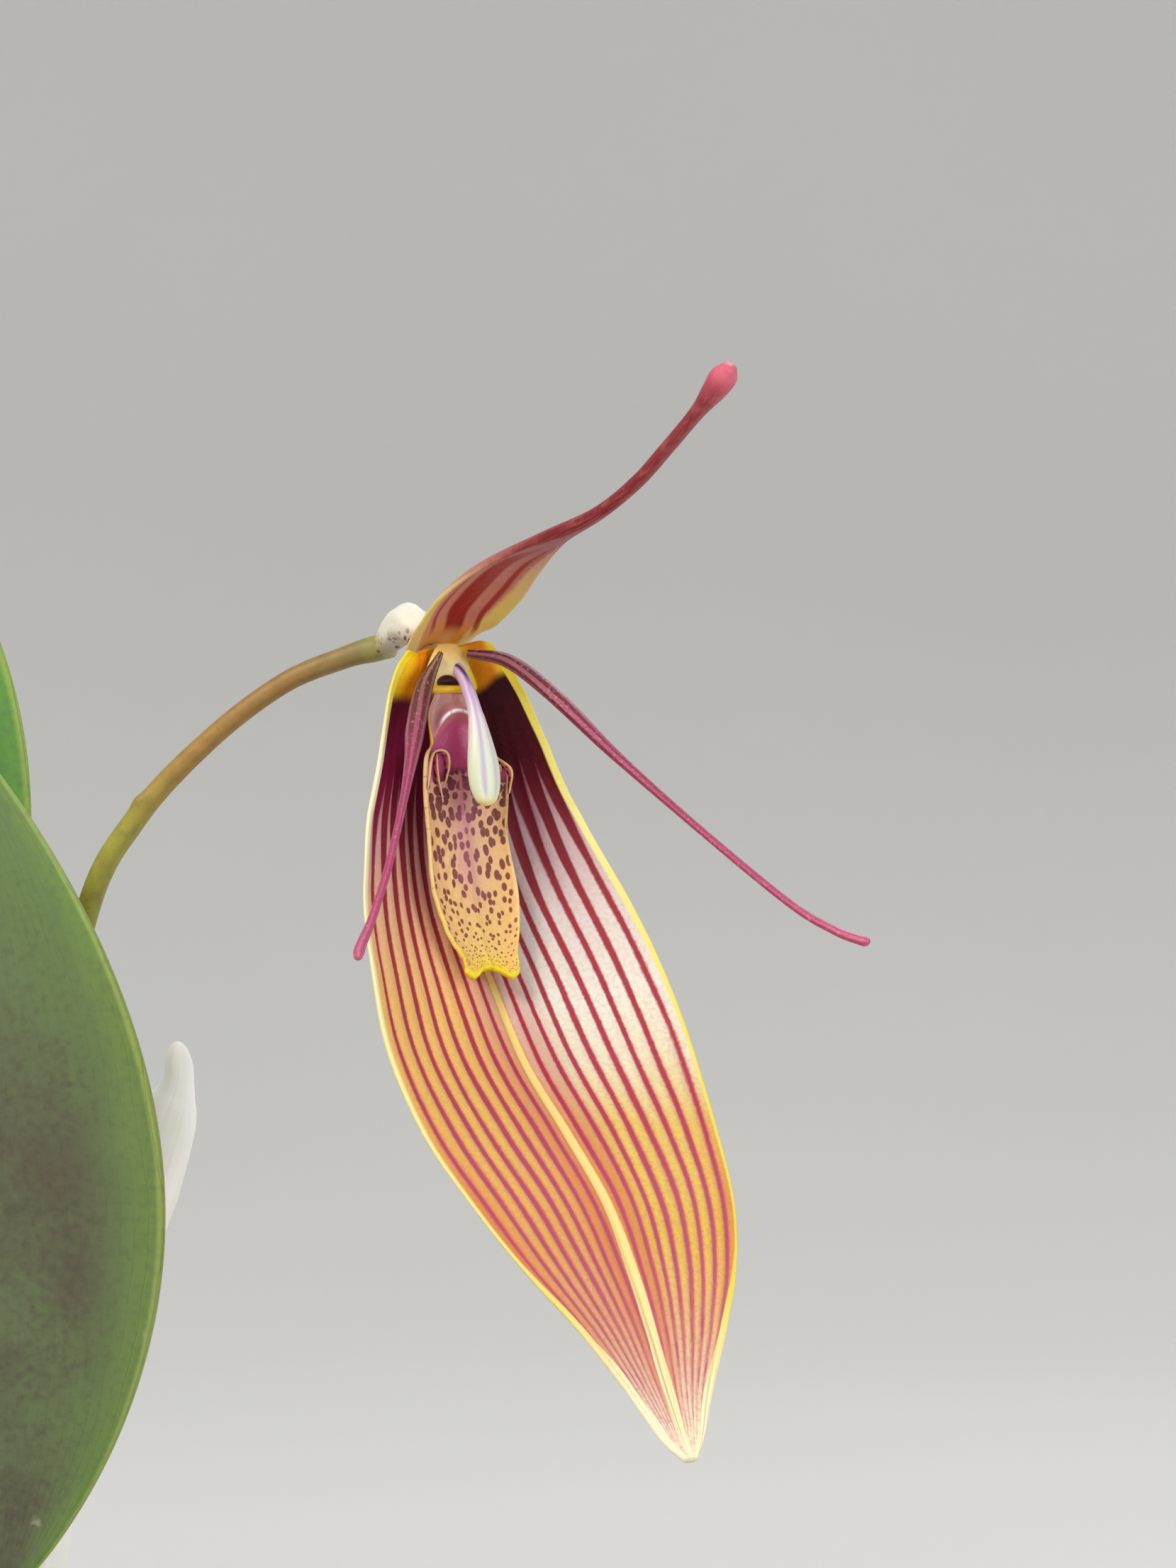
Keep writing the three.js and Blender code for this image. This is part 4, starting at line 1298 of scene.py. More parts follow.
@dataclass
class BarkBed:
    """The growing medium: a low mound of bark with chips and a little moss on it."""

    pot: Pot
    edge_height: float = 61.5
    crown_height: float = 64.5
    clearance: float = 0.3
    sides: int = 72
    wall_rings: int = 12
    top_rings: int = 26
    chip_size: Triple = (8.0, 5.2, 2.8)
    chip_spacing: float = 3.2
    moss_spacing: float = 1.25
    patches: Rows = ((-14, -13, 8), (15, -12, 7), (17, 13, 9), (-19, 11, 8), (0, -22, 7),
                     (2, 24, 7))
    seed: int = 11

    def crown_at(self, radius: Array) -> Array:
        """Height of the mound's smooth surface."""
        share = (radius / self.pot.well_at(self.edge_height)) ** 2
        return self.crown_height + (self.edge_height - self.crown_height) * share

    def mound(self, finish: Finish) -> Piece:
        """The filled body of the medium."""
        bottom = self.pot.floor + self.clearance
        wall = np.linspace(bottom, self.edge_height, self.wall_rings)
        side = np.stack([self.pot.well_at(wall) - self.clearance, wall], -1)
        radius = np.linspace(side[-1, 0] - 1, 1, self.top_rings)
        top = np.stack([radius, self.crown_at(radius) - 0.6], -1)
        rows = np.concatenate([[[6, bottom]], side, top])
        angle = turns(self.sides)
        x, y = rows[:, :1] * np.cos(angle), rows[:, :1] * np.sin(angle)
        lump = 0.5 * np.sin(x * 1.1 + 2 * np.sin(y * 0.5)) * np.cos(y * 0.9 + x * 0.3)
        z = rows[:, 1:2] + lump * (np.arange(len(rows)) > self.wall_rings + 1)[:, None]
        shape = Shape()
        shape.tube(np.stack([x, y, z], -1), np.linspace(0, 1, len(rows)))
        return shape.build("bark_mound", [finish])

    def disc(self, name: str, inner: float, outer: float) -> Piece:
        """A ring of the mound's surface to strew things on."""
        angle = turns(48, closed=True)
        radius = np.linspace(inner, outer, 8)[:, None]
        points = np.stack(np.broadcast_arrays(radius * np.cos(angle), radius * np.sin(angle),
                                              self.crown_at(radius)), -1)
        shape = Shape()
        shape.quads(shape.put(points), np.zeros_like(points[..., :2]))
        piece = shape.build(name, [])
        up = np.mean([p.normal.z for p in piece.data.polygons])
        if up < 0:
            piece.data.flip_normals()
        return piece

    def chip(self, seed: int) -> Piece:
        """One angular chip of bark."""
        draw = np.random.default_rng(seed)
        work = bmesh.new()
        bmesh.ops.create_cube(work, size=1)
        bmesh.ops.subdivide_edges(work, edges=work.edges, cuts=2, use_grid_fill=True)
        size = np.array(self.chip_size) * draw.uniform(0.8, 1.2, 3)
        for vert in work.verts:
            raw = np.array(vert.co)
            round_off = 1 - 0.2 * (np.abs(raw).sum() > 1.2)
            knock = draw.uniform(-0.07, 0.07, 3) + 0.08 * np.sin(raw[::-1] * 5 + seed)
            vert.co = Vector((raw * round_off + knock) * size * MM)
        mesh = bpy.data.meshes.new(f"chip_{seed}")
        work.to_mesh(mesh)
        work.free()
        mesh.uv_layers.new(name="UVMap")
        mesh.shade_smooth()
        mesh.set_sharp_from_angle(angle=math.radians(38))
        return new_object(mesh.name, mesh)

    def moss_head(self, seed: int) -> Piece:
        """One star-shaped head of moss with a few dozen faces."""
        shape = Shape()
        draw = np.random.default_rng(seed)
        for tier, (count, reach, rise) in enumerate(((7, 1.5, 0.5), (6, 1.0, 1.1), (4, 0.5, 1.6))):
            for leaf in range(count):
                turn = 2 * math.pi * (leaf + 0.5 * tier) / count + draw.uniform(-0.2, 0.2)
                out = np.array([math.cos(turn), math.sin(turn), 0.0])
                cross = np.array([-out[1], out[0], 0.0])
                length = reach * draw.uniform(0.85, 1.2)
                up = np.array([0, 0, rise])
                rows = [out * 0.15, out * length * 0.55 + up * 0.8, out * length + up * 0.65]
                width = (0.16, 0.3, 0.04)
                front = np.stack([[r - cross * w, r + cross * w] for r, w in zip(rows, width)])
                shape.sheet(front, front - np.array([0, 0, 0.07]), np.zeros((3, 2, 2)))
        return shape.build(f"moss_head_{seed}", [])

    def build(self) -> None:
        """Fills the pot and strews chips and moss on the mound."""
        bark = BarkChip("bark_broken")
        chips = [self.chip(self.seed + i) for i in range(4)]
        rig = strewer("strewn_chips", chips, bark)
        outer = self.disc("chip_layer", 5.0, 32.0)
        rig.shape(outer, {"Spacing": self.chip_spacing * MM, "Density": 1.5e5,
                          "Smallest": 0.62, "Largest": 1.15, "Tilt": 0.45,
                          "Sink": 0.3 * MM, "Seed": self.seed})
        bed = joined("bark_bed", [self.mound(bark), outer])
        hand_over(bed, Slot.BARK, "substrate")
        self.strew_moss()
        for chip in chips:
            bpy.data.objects.remove(chip)

    def strew_moss(self) -> None:
        """Grows moss in patches between the chips."""
        heads = [self.moss_head(self.seed + i) for i in range(3)]
        rig = strewer("strewn_moss", heads, Sphagnum("moss"))
        patches = []
        for i, (x, y, reach) in enumerate(self.patches):
            patch = self.disc(f"moss_patch_{i}", 0.2, reach)
            points = np.array([v.co for v in patch.data.vertices]) / MM
            points[:, :2] += (x, y)
            points[:, 2] = self.crown_at(np.hypot(points[:, 0], points[:, 1])) + 1.0
            patch.data.vertices.foreach_set("co", (points * MM).ravel())
            patches.append(patch)
        moss = joined("moss_heads", patches)
        rig.shape(moss, {"Spacing": self.moss_spacing * MM, "Density": 4e5,
                         "Smallest": 0.75, "Largest": 1.25, "Tilt": 0.35,
                         "Sink": 0.4 * MM, "Seed": self.seed + 5})
        hand_over(moss, Slot.BARK)
        for head in heads:
            bpy.data.objects.remove(head)


@dataclass
class Rhizome:
    """The creeping rhizome with its arching roots."""

    height: float = 65
    radius: float = 2.1
    swelling: float = 0.8
    outer_way: Rows = ((-6, -4), (-8, 0), (-6, 4), (-2, 7.5), (4, 8), (8.5, 5.5),
                       (10.5, 1), (7.5, -3.5), (3, -4.5), (-1, -7.5))
    inner_way: Rows = ((-8, 0), (-3.2, 2.6), (1, 3.4), (5.5, 1.5), (7.5, -3.5))
    roots: int = 8
    root_radius: float = 0.8
    reach: tuple[float, float] = (20, 27.5)
    stretch: tuple[float, ...] = (0.28, 0.5, 0.75, 0.92, 1)
    lift: tuple[float, ...] = (0, 3.4, 2.5, -0.6, -6)
    first_turn: float = 0.3
    scatter: float = 0.5
    bend: float = 0.25
    sides: int = 20
    root_sides: int = 14
    seed: int = 5

    def creeper(self, shape: Shape, way: Rows) -> None:
        """Adds one lumpy length of rhizome with ring scars."""
        path = Curve([(x, y, self.height) for x, y in way])
        spans = len(way) - 1
        t = np.linspace(0, 1, spans * 16 + 1)
        lump = self.swelling / 2 * np.cos(2 * np.pi * t * spans)
        scar = 0.12 * np.abs(np.sin(np.pi * t * spans * 4)) ** 6
        angle = turns(self.sides)
        wart = 0.12 * np.sin(5 * angle[None] + 31 * t[:, None]) * np.sin(47 * t[:, None])
        radius = (self.radius + lump + scar)[:, None] + wart
        radius = radius * np.minimum(1, 0.35 + 14 * np.minimum(t, 1 - t))[:, None]
        shape.tube(ring_points(path, t, (0, 0, 1), radius, radius, self.sides), t)

    def root(self, shape: Shape, index: int, draw: Iterator[float]) -> None:
        """Adds one root, which arches over the bark and dives into it."""
        step = 2 * math.pi / self.roots
        angle = self.first_turn + step * (index + self.scatter * next(draw))
        reach = self.reach[0] + (self.reach[1] - self.reach[0]) * next(draw)
        rows = []
        for share, lift in zip(self.stretch, self.lift):
            turn = angle + self.bend * share * math.sin(3 * angle)
            radius = share * reach
            rows.append((radius * math.cos(turn), radius * math.sin(turn), self.height + lift))
        t = np.linspace(0, 1, 41)
        ring = turns(self.root_sides)
        knot = 0.06 * np.sin(3 * ring[None] + 40 * t[:, None]) + 0.05 * np.sin(73 * t)[:, None]
        radius = self.root_radius + knot
        face = (-math.sin(angle), math.cos(angle), 0)
        shape.tube(ring_points(Curve(rows), t, face, radius, radius, self.root_sides), t)

    def build(self) -> None:
        """Grows rhizome and roots as one piece."""
        shape = Shape()
        for way in (self.outer_way, self.inner_way):
            self.creeper(shape, way)
        draw = seeded(self.seed)
        for index in range(self.roots):
            self.root(shape, index, draw)
        piece = shape.build("rhizome_and_roots", [Velamen("velamen")])
        hand_over(piece, Slot.ROOT, "rhizome")


@dataclass(frozen=True)
class StemPlan:
    """One leafy stem: its foot, where its leaf begins and ends, and the leaf's look."""

    foot: tuple[float, float]
    apex: Triple
    tip: Triple
    half_width: float
    face: Triple
    bow: float


STEMS = tuple(StemPlan(*row) for row in (
    ((3, -4.5), (5, -6, 127), (2.7, -10.5, 175.3), 9.6, (0, -1, 0.08), -1.5),
    ((1, 3.4), (0.8, 8, 148), (-11.5, 12, 197), 10.2, (0.1, -1, 0.3), -2),
    ((-6, -4), (-15, -14, 104), (-27, -22, 147), 9.2, (0.75, 0.1, 0.9), 3),
    ((-6, 4), (-18, 11, 118), (-37, 16, 156), 9.8, (0.7, -0.5, 0.8), 3),
    ((-8, 0), (-25, -2, 92), (-46, -6, 122), 8.6, (0.4, 0.3, 1), 4),
    ((7.5, -3.5), (17, -14, 84), (31, -24, 117), 8.8, (-0.3, 0.5, 1), 4),
    ((10.5, 1), (25, 2, 90), (44, 5, 122), 9, (-0.7, -0.4, 0.8), 3),
    ((4, 8), (11, 20, 94), (20, 34, 127), 9.4, (-0.3, -0.9, 0.7), 3),
    ((-2, 7.5), (-7, 20, 108), (-14, 32, 149), 9.2, (0.6, -0.7, 0.6), 3),
    ((-1, -7.5), (-4, -19, 82), (-2, -35, 115), 8.4, (0.3, 0.6, 1), 3),
    ((-3.2, 2.6), (-11, 1, 132), (-23, -5, 177), 9.4, (0.9, -0.5, 0.4), 2.5),
    ((8.5, 5.5), (21, 14, 82), (36, 22, 112), 8.4, (-0.6, -0.2, 0.9), 3),
))


@dataclass
class Ramicauls:
    """The slender stems, each wrapped in overlapping papery sheaths."""

    plans: tuple[StemPlan, ...] = STEMS
    foot_height: float = 63.0
    lean: float = 1.6
    core: float = 0.95
    apex: float = 1.3
    sheath_pitch: float = 12
    sheath_length: float = 11.6
    first_mouth: float = 10
    last_mouth: float = 2.2
    sheath_foot: float = 1.12
    mouth: float = 1.72
    slant: float = 1.1
    spin: float = 2.4
    paper: float = 0.09
    rings: int = 40
    sides: int = 18

    def path(self, plan: StemPlan) -> Curve:
        """The stem's middle line."""
        rows = []
        for share in np.linspace(0, 1, 6):
            lean = share ** self.lean
            rows.append([plan.foot[i] + (plan.apex[i] - plan.foot[i]) * lean for i in (0, 1)]
                        + [self.foot_height + (plan.apex[2] - self.foot_height) * share])
        return Curve(rows)

    def sheath_rig(self, finish: Finish) -> Rig:
        """The tree that sets sheaths along a stem."""
        rig = Rig("sheath_row", {"Count": 4, "Length": 0.012, "Foot": 0.001, "Mouth": 0.0017,
                                 "Slant": 0.001, "Spin": 2.4})
        line = rig.node("GeometryNodeMeshToCurve", None, {"Mesh": rig["Geometry"]})
        points = rig.node("GeometryNodeCurveToPoints", {"mode": "COUNT"},
                          {"Curve": line, "Count": rig["Count"]})
        cone = rig.node("GeometryNodeMeshCone", {"fill_type": "NONE"},
                        {"Vertices": self.sides, "Side Segments": 9, "Depth": rig["Length"],
                         "Radius Top": rig["Mouth"], "Radius Bottom": rig["Foot"]})
        kept = rig.node("GeometryNodeStoreNamedAttribute",
                        {"data_type": "FLOAT2", "domain": "CORNER"},
                        {"Geometry": cone, "Name": "UVMap", "Value": cone.other("UV Map")})
        x, y, z = rig.split(rig.node("GeometryNodeInputPosition"))
        share = z / rig["Length"]
        flare = share ** 9 * 0.16 + (share * 3.1).sine() * 0.07 + 1.0
        ragged = rig.noise(rig.vector(x, y), 900, 1) - 0.5
        lift = (x / rig["Mouth"]) * rig["Slant"] * share * share
        rise = z + lift + ragged * rig["Slant"] * 0.7 * share ** 6
        shaped = rig.node("GeometryNodeSetPosition", None,
                          {"Geometry": kept, "Position": rig.vector(x * flare, y * flare, rise)})
        aimed = rig.node("FunctionNodeAlignRotationToVector", {"axis": "Z"},
                         {"Vector": points.other("Tangent")})
        index = rig.node("GeometryNodeInputIndex")
        spun = rig.node("FunctionNodeRotateRotation", {"rotation_space": "LOCAL"},
                        {"Rotation": aimed, "Rotate By": rig.vector(0, 0, index * rig["Spin"])})
        strung = rig.node("GeometryNodeInstanceOnPoints", None,
                          {"Points": points, "Instance": shaped, "Rotation": spun})
        rig.close(strung, finish)
        return rig

    def stem(self, number: int, plan: StemPlan, rig: Rig) -> None:
        """Builds one stem with its sheaths."""
        path = self.path(plan)
        rise = plan.apex[2] - self.foot_height
        t = np.linspace(0, 1, self.rings)
        radius = self.core + (self.apex - self.core) * ease(t, 0.9, 1.0)
        shape = Shape()
        shape.tube(ring_points(path, t, (0, -1, 0), radius, radius, self.sides), t)
        core = shape.build("stem_core", [Skin("stem_green")])
        count = round(rise / self.sheath_pitch)
        low = (self.first_mouth - self.sheath_length) / rise
        high = 1 - (self.last_mouth + self.sheath_length) / rise
        sheaths = wire_object("sheaths", path.at(np.linspace(low, high, self.rings)))
        rig.shape(sheaths, {"Count": count, "Length": self.sheath_length * MM,
                            "Foot": self.sheath_foot * MM, "Mouth": self.mouth * MM,
                            "Slant": self.slant * MM, "Spin": self.spin})
        wall = sheaths.modifiers.new("wall", "SOLIDIFY")
        wall.thickness, wall.offset = self.paper * MM, 0.0
        settle(sheaths).data.shade_smooth()
        piece = joined(f"ramicaul_sheathed_{number}", [core, sheaths])
        hand_over(piece, Slot.SHEATH, f"ramicaul_{number}")

    def build(self) -> None:
        """Builds every stem."""
        rig = self.sheath_rig(Paper("sheath_paper"))
        for number, plan in enumerate(self.plans, 1):
            self.stem(number, plan, rig)


DUSKY = LeafSkin("leaf_dusky", deep="667a50", middle="66804a", band="708c44", margin="a2b862",
                 dusk="564a42", dusk_share=0.92)
BRIGHT = LeafSkin("leaf_bright", deep="2f6a34", middle="3f7f3a", band="5f9a40", dusk_share=0.1)
LEAF_SKINS = {0: LeafSkin("leaf_green"), 1: DUSKY, 2: BRIGHT, 5: DUSKY, 7: BRIGHT, 11: BRIGHT}


@dataclass
class Leaves:
    """The leathery leaves, one at the end of each stem."""

    plans: tuple[StemPlan, ...] = STEMS
    petiole: float = 0.1
    petiole_width: float = 0.95
    petiole_thick: float = 0.75
    half_thick: float = 0.32
    fold: float = 0.13
    skew: float = 0.93
    fullness: float = 0.8
    end: float = 0.985
    rim: float = 0.12
    groove: float = 0.34
    grid: tuple[int, int] = (84, 44)

    def leaf(self, number: int, plan: StemPlan) -> None:
        """Builds one leaf."""
        start, end = np.array(plan.apex, float), np.array(plan.tip, float)
        lean = unit(end - start)
        look = np.array(plan.face, float)
        look = unit(look - lean * (look @ lean))
        share = np.linspace(0, 1, 6)[:, None]
        rows = start + (end - start) * share - look * plan.bow * np.sin(np.pi * share)

        def girth(t: Array) -> Array:
            """Half width, fold and half thickness."""
            opened = np.clip((t - self.petiole) / (1 - self.petiole), 0, 1)
            bulge = np.sin(np.pi * np.minimum(opened, self.end) ** self.skew)
            swell = plan.half_width * bulge ** self.fullness
            stalk = np.clip(1 - t / (2 * self.petiole), 0, 1)
            width = np.maximum(swell, self.petiole_width * (1 - opened)) + self.rim
            thick = self.half_thick + (self.petiole_thick - self.half_thick) * stalk
            thin_end = 1 - 0.6 * ease(t, 0.96, 1)
            return np.stack([width, self.fold * swell, thick * thin_end], -1)

        def relief(t: Array, u: Array) -> Array:
            """Midrib groove, soft billows and fine veins."""
            groove = -self.groove * hill(u, 0, 0.05) * ease(t, 0.02, 0.2) * (1 - ease(t, 0.9, 1))
            billow = 0.16 * np.sin(5 * t + number) * np.cos(3.4 * u) * ease(t, 0.1, 0.3)
            veins = 0.008 * np.cos(2 * np.pi * 9 * u) * ease(t, 0.1, 0.3)
            roll = -0.35 * np.abs(u) ** 10 * ease(t, 0.1, 0.25)
            return groove + billow + veins + roll

        blade = Sheet(Curve(rows), girth, look, *self.grid, self.half_thick, 0.45)
        shape = Shape()
        shape.sheet(*blade.faces(relief, follow=0.9), under=1)
        lower = LeafSkin("leaf_underside", deep="6d7a45", middle="7d8a52", band="84914f",
                         margin="97a05a", dusk="6a4a4c", dusk_share=0.35, under=True)
        upper = LEAF_SKINS.get(number, LEAF_SKINS[0])
        piece = shape.build(f"leaf_blade_{number}", [upper, lower])
        hand_over(piece, Slot.LEAF, f"leaf_{number}")

    def build(self) -> None:
        """Builds every leaf."""
        for number, plan in enumerate(self.plans, 1):
            self.leaf(number, plan)


SHOOT_ROWS = ((5.5, 1.5, 63.2, 1.15), (5.6, 1.6, 78, 1.75), (5.6, 1.6, 78.6, 1.4),
              (5.6, 1.8, 97, 1.85), (5.6, 1.8, 97.6, 1.5), (5.7, 2, 118, 1.95),
              (5.7, 2, 118.6, 1.55), (6.2, 2, 133, 1.7), (7.4, 2, 140, 1.85),
              (9.5, 2, 146.8, 1.95), (11.5, 2, 151.8, 1.85), (12.85, 2, 155.2, 1.42),
              (13.45, 2, 157.1, 0.8), (13.4, 2, 159.1, 0.58))

PEDICEL_ROWS = ((5.7, -3.1, 122.5, 0.95), (5.8, -3, 128.6, 0.9), (5.9, -3, 129.4, 0.46),
                (6.3, -3.4, 141, 0.5), (7.2, -4.2, 154, 0.54), (9.4, -5.6, 165.5, 0.58),
                (11.9, -6.4, 170.3, 0.56), (15.6, -7.3, 174.2, 0.5), (19.2, -7.9, 176.9, 0.5),
                (22.2, -8.4, 178.15, 0.54), (23.6, -8.7, 178.55, 0.64),
                (24.7, -9, 178.8, 0.62))


def row_tube(shape: Shape, rows: Rows, span: tuple[float, float], rings: int, sides: int,
             swell: "Field | None" = None,
             slant: float = 0, slot: int = 0) -> None:
    """Adds a tube along part of a list of [x, y, z, radius] rows.

    Args:
        shape: the shape that it is added to.
        rows: the list.
        span: first and last row, which may lie between two rows.
        rings: rings of points.
        sides: points in a ring.
        swell: what the radius is multiplied by, from the place 0 to 1 and the angle.
        slant: how far the last ring tips along the tube.
        slot: the material.
    """
    table = np.array(rows, float)
    step = np.linspace(*span, rings)
    share = np.linspace(0, 1, rings)
    radius = np.interp(step, np.arange(len(table)), table[:, 3])[:, None]
    angle = turns(sides)[None]
    if swell:
        radius = radius * swell(share[:, None], angle)
    tip = slant * np.cos(angle - 1.2) * share[:, None] ** 3
    path = Curve(table[:, :3])
    points = ring_points(path, step / (len(table) - 1), (0, -1, 0), radius, radius, sides, tip)
    shape.tube(points, share, slot)


@dataclass
class YoungShoot:
    """The young shoot in its nested pale sheaths."""

    rows: Rows = SHOOT_ROWS
    sheaths: tuple[tuple[float, float], ...] = ((0, 1), (0.8, 3), (2.6, 5), (4.6, 13))

    def build(self) -> None:
        """Nests the sheaths and dresses them."""
        def pleats(share: Array, angle: Array) -> Array:
            """Soft lengthwise pleats and a flaring mouth."""
            fold = 0.03 * np.cos(6 * angle + 2 * share) + 0.02 * np.cos(3 * angle + 1)
            return 1 + fold + 0.07 * ease(share, 0.9, 1.0)

        def beak(share: Array, angle: Array) -> Array:
            """Pleats and the overlap of the last, unopened sheath."""
            fold = 0.012 * np.cos(5 * angle + 3 * share)
            step = 0.1 * (1 - ease(share, 0.8, 0.84)) * ease(share, 0.3, 0.6)
            dome = np.sqrt(1 - np.clip((share - 0.93) / 0.0705, 0, 1) ** 2)
            return (1 + step + fold + 0.05 * ease(np.cos(angle - 2.2 + share), 0.55, 0.7)) * dome

        shape = Shape()
        for span in self.sheaths[:-1]:
            row_tube(shape, self.rows, span, 30, 28, pleats, 0.9)
        row_tube(shape, self.rows, self.sheaths[-1], 110, 36, beak)
        # The glow is painted light: the sheath shines in its own colour to make up for the shade
        # that the leaf casts on it.
        white = Paper("pale_paper", body="fbfaf6", shade="efede6", freckle="cfc6b0",
                      freckles=0.05, relief=0.03, glow=0.14)
        hand_over(shape.build("shoot_sheaths", [white]), Slot.PAPER, "young_shoot")


@dataclass
class FlowerStalk:
    """The stalk that carries the flower, with the bract at its foot."""

    rows: Rows = PEDICEL_ROWS

    def build(self) -> None:
        """Builds stalk and bract."""
        def stalk(share: Array, angle: Array) -> Array:
            """Faint ridges, the joint near the bend and the narrow end."""
            joint = 0.35 * hill(share, 0.505, 0.007) * hill(angle, 2.4, 0.6)
            return 1 + 0.02 * np.cos(5 * angle) - 0.7 * share ** 160 + joint

        def bract(share: Array, angle: Array) -> Array:
            """A cone with soft pleats."""
            return 0.75 + 0.35 * share + 0.03 * np.cos(7 * angle)

        shape = Shape()
        row_tube(shape, self.rows, (1.2, len(self.rows) - 1), 220, 22, stalk)
        row_tube(shape, self.rows, (0, 1), 30, 24, bract, 0.8, 1)
        finishes = [StalkSkin("stalk_skin"), Paper("sheath_paper")]
        hand_over(shape.build("pedicel_stalk", finishes), Slot.STALK, "pedicel")


# The flower.


@dataclass
class Flower:
    """The open flower, built in its own frame and then turned and set in place."""

    place: Triple = (27.2, -14, 177.7)
    turn: float = math.radians(32)

    def to_part(self, points: Array) -> Array:
        """Points of the flower's frame in the part's frame."""
        c, s = math.cos(self.turn), math.sin(self.turn)
        spin = np.array([[c, -s, 0], [s, c, 0], [0, 0, 1]])
        return points @ spin.T + np.array(self.place)

    def build(self) -> None:
        """Builds the flower's pieces in order."""
        for part in (Ovary(), Synsepal(), DorsalSepal(), Petals(), Lip(), Column()):
            part.build(self)

    def finish(self, shape: Shape, name: str, finishes: Sequence[Finish],
               slot: Slot, node: str) -> None:
        """Sets a finished shape in place of its solid."""
        hand_over(shape.build(name, finishes, self.to_part), slot, node)


def forward_path(rows: Rows) -> Curve:
    """A path in the flower's middle plane from [forward, up, ...] rows."""
    return Curve([(0, -row[0], row[1]) for row in rows])


def sideways_path(rows: Rows) -> Curve:
    """A path from [right, forward, up, ...] rows."""
    return Curve([(row[0], -row[1], row[2]) for row in rows])


@dataclass
class Ovary:
    """The swollen knob under the flower, softly ribbed."""

    rows: Rows = ((-5.9, 0.95, 0.52), (-5.25, 1.25, 0.68), (-4.4, 1.75, 0.86),
                  (-3.5, 2.05, 0.94), (-2.5, 1.55, 0.85), (-1, 0.5, 0.55))
    rings: int = 60
    sides: int = 30

    def build(self, flower: Flower) -> None:
        """Builds the knob."""
        t = np.linspace(0, 1, self.rings)
        radius = Curve([(row[2],) for row in self.rows]).at(t)
        radius = radius * (1 + 0.05 * np.cos(6 * turns(self.sides))[None])
        shape = Shape()
        shape.tube(ring_points(forward_path(self.rows), t, (1, 0, 0), radius, radius,
                               self.sides), t)
        flower.finish(shape, "ovary_knob", [OvarySkin("ovary_skin")], Slot.OVARY, "ovary")


@dataclass
class Synsepal:
    """The two side sepals grown into one broad striped tongue."""

    rows: Rows = ((-0.05, 0.85, 2.35, 0.5), (-0.15, 0, 3.05, 1), (-0.2, -1.6, 3.85, 1.5),
                  (-0.15, -4.1, 4.7, 2.05), (0.2, -7.7, 5.85, 2.65), (1.6, -11.5, 6.85, 3.1),
                  (4.3, -15.2, 7.8, 2.6), (7.2, -18.8, 8.3, 1.8), (10.9, -21.9, 8, 0.6),
                  (14.3, -24.9, 7, 0.1), (16.5, -27.9, 5.6, 0.2), (18.1, -30.5, 4, 0.4),
                  (19.5, -33.1, 2.35, 0.4), (20.8, -35.2, 1.1, 0.2), (21.5, -36, 0.35, 0.05))
    face: Triple = (0, -1, 0.75)
    half_thick: float = 0.17
    stripes: float = 8.7
    bunching: float = 1.1
    rib: float = 0.035
    shoulder: float = 0.32
    left_shoulder: float = -0.3
    keel: float = 0.16
    dome: float = 0.42
    grid: tuple[int, int] = (180, 108)

    def relief(self, t: Array, u: Array) -> Array:
        """Ribs between the stripes, the keel's groove and the two orange shoulders."""
        s = np.abs(u)
        fade = ease(t, 0.12, 0.3) * (1 - ease(t, 0.85, 1)) * (1 - ease(s, 0.9, 1))
        ribs = -self.rib * np.cos(2 * np.pi * self.stripes * s ** (1 / self.bunching)) * fade
        keel = -self.keel * hill(u, 0, 0.035) * ease(t, 0.1, 0.3) * (1 - ease(t, 0.8, 1))
        domes = self.dome * hill(t, 0.075, 0.055) * hill(s, 0.62, 0.22)
        wave = 0.1 * np.sin(t * 23 + 2.5 * u) * s ** 4
        return ribs + keel + domes + wave

    def shoulders(self, t: Array, u: Array) -> Array:
        """How far the base of each half is drawn along the path."""
        lift = np.where(u > 0, self.left_shoulder, self.shoulder)
        return -lift * hill(t, 0, 0.05) * hill(np.abs(u), 0.75, 0.3)

    def build(self, flower: Flower) -> None:
        """Builds the tongue."""
        widths = Curve([row[2:] for row in self.rows])
        blade = Sheet(forward_path(self.rows), widths.at, self.face, *self.grid,
                      self.half_thick, 0.4)
        shape = Shape()
        shape.sheet(*blade.faces(self.relief, self.shoulders), under=1)
        finishes = [StripedSepal("sepal_striped"), StripedSepal("sepal_underside", pale=0.4)]
        flower.finish(shape, "synsepal_tongue", finishes, Slot.SEPAL, "synsepal")


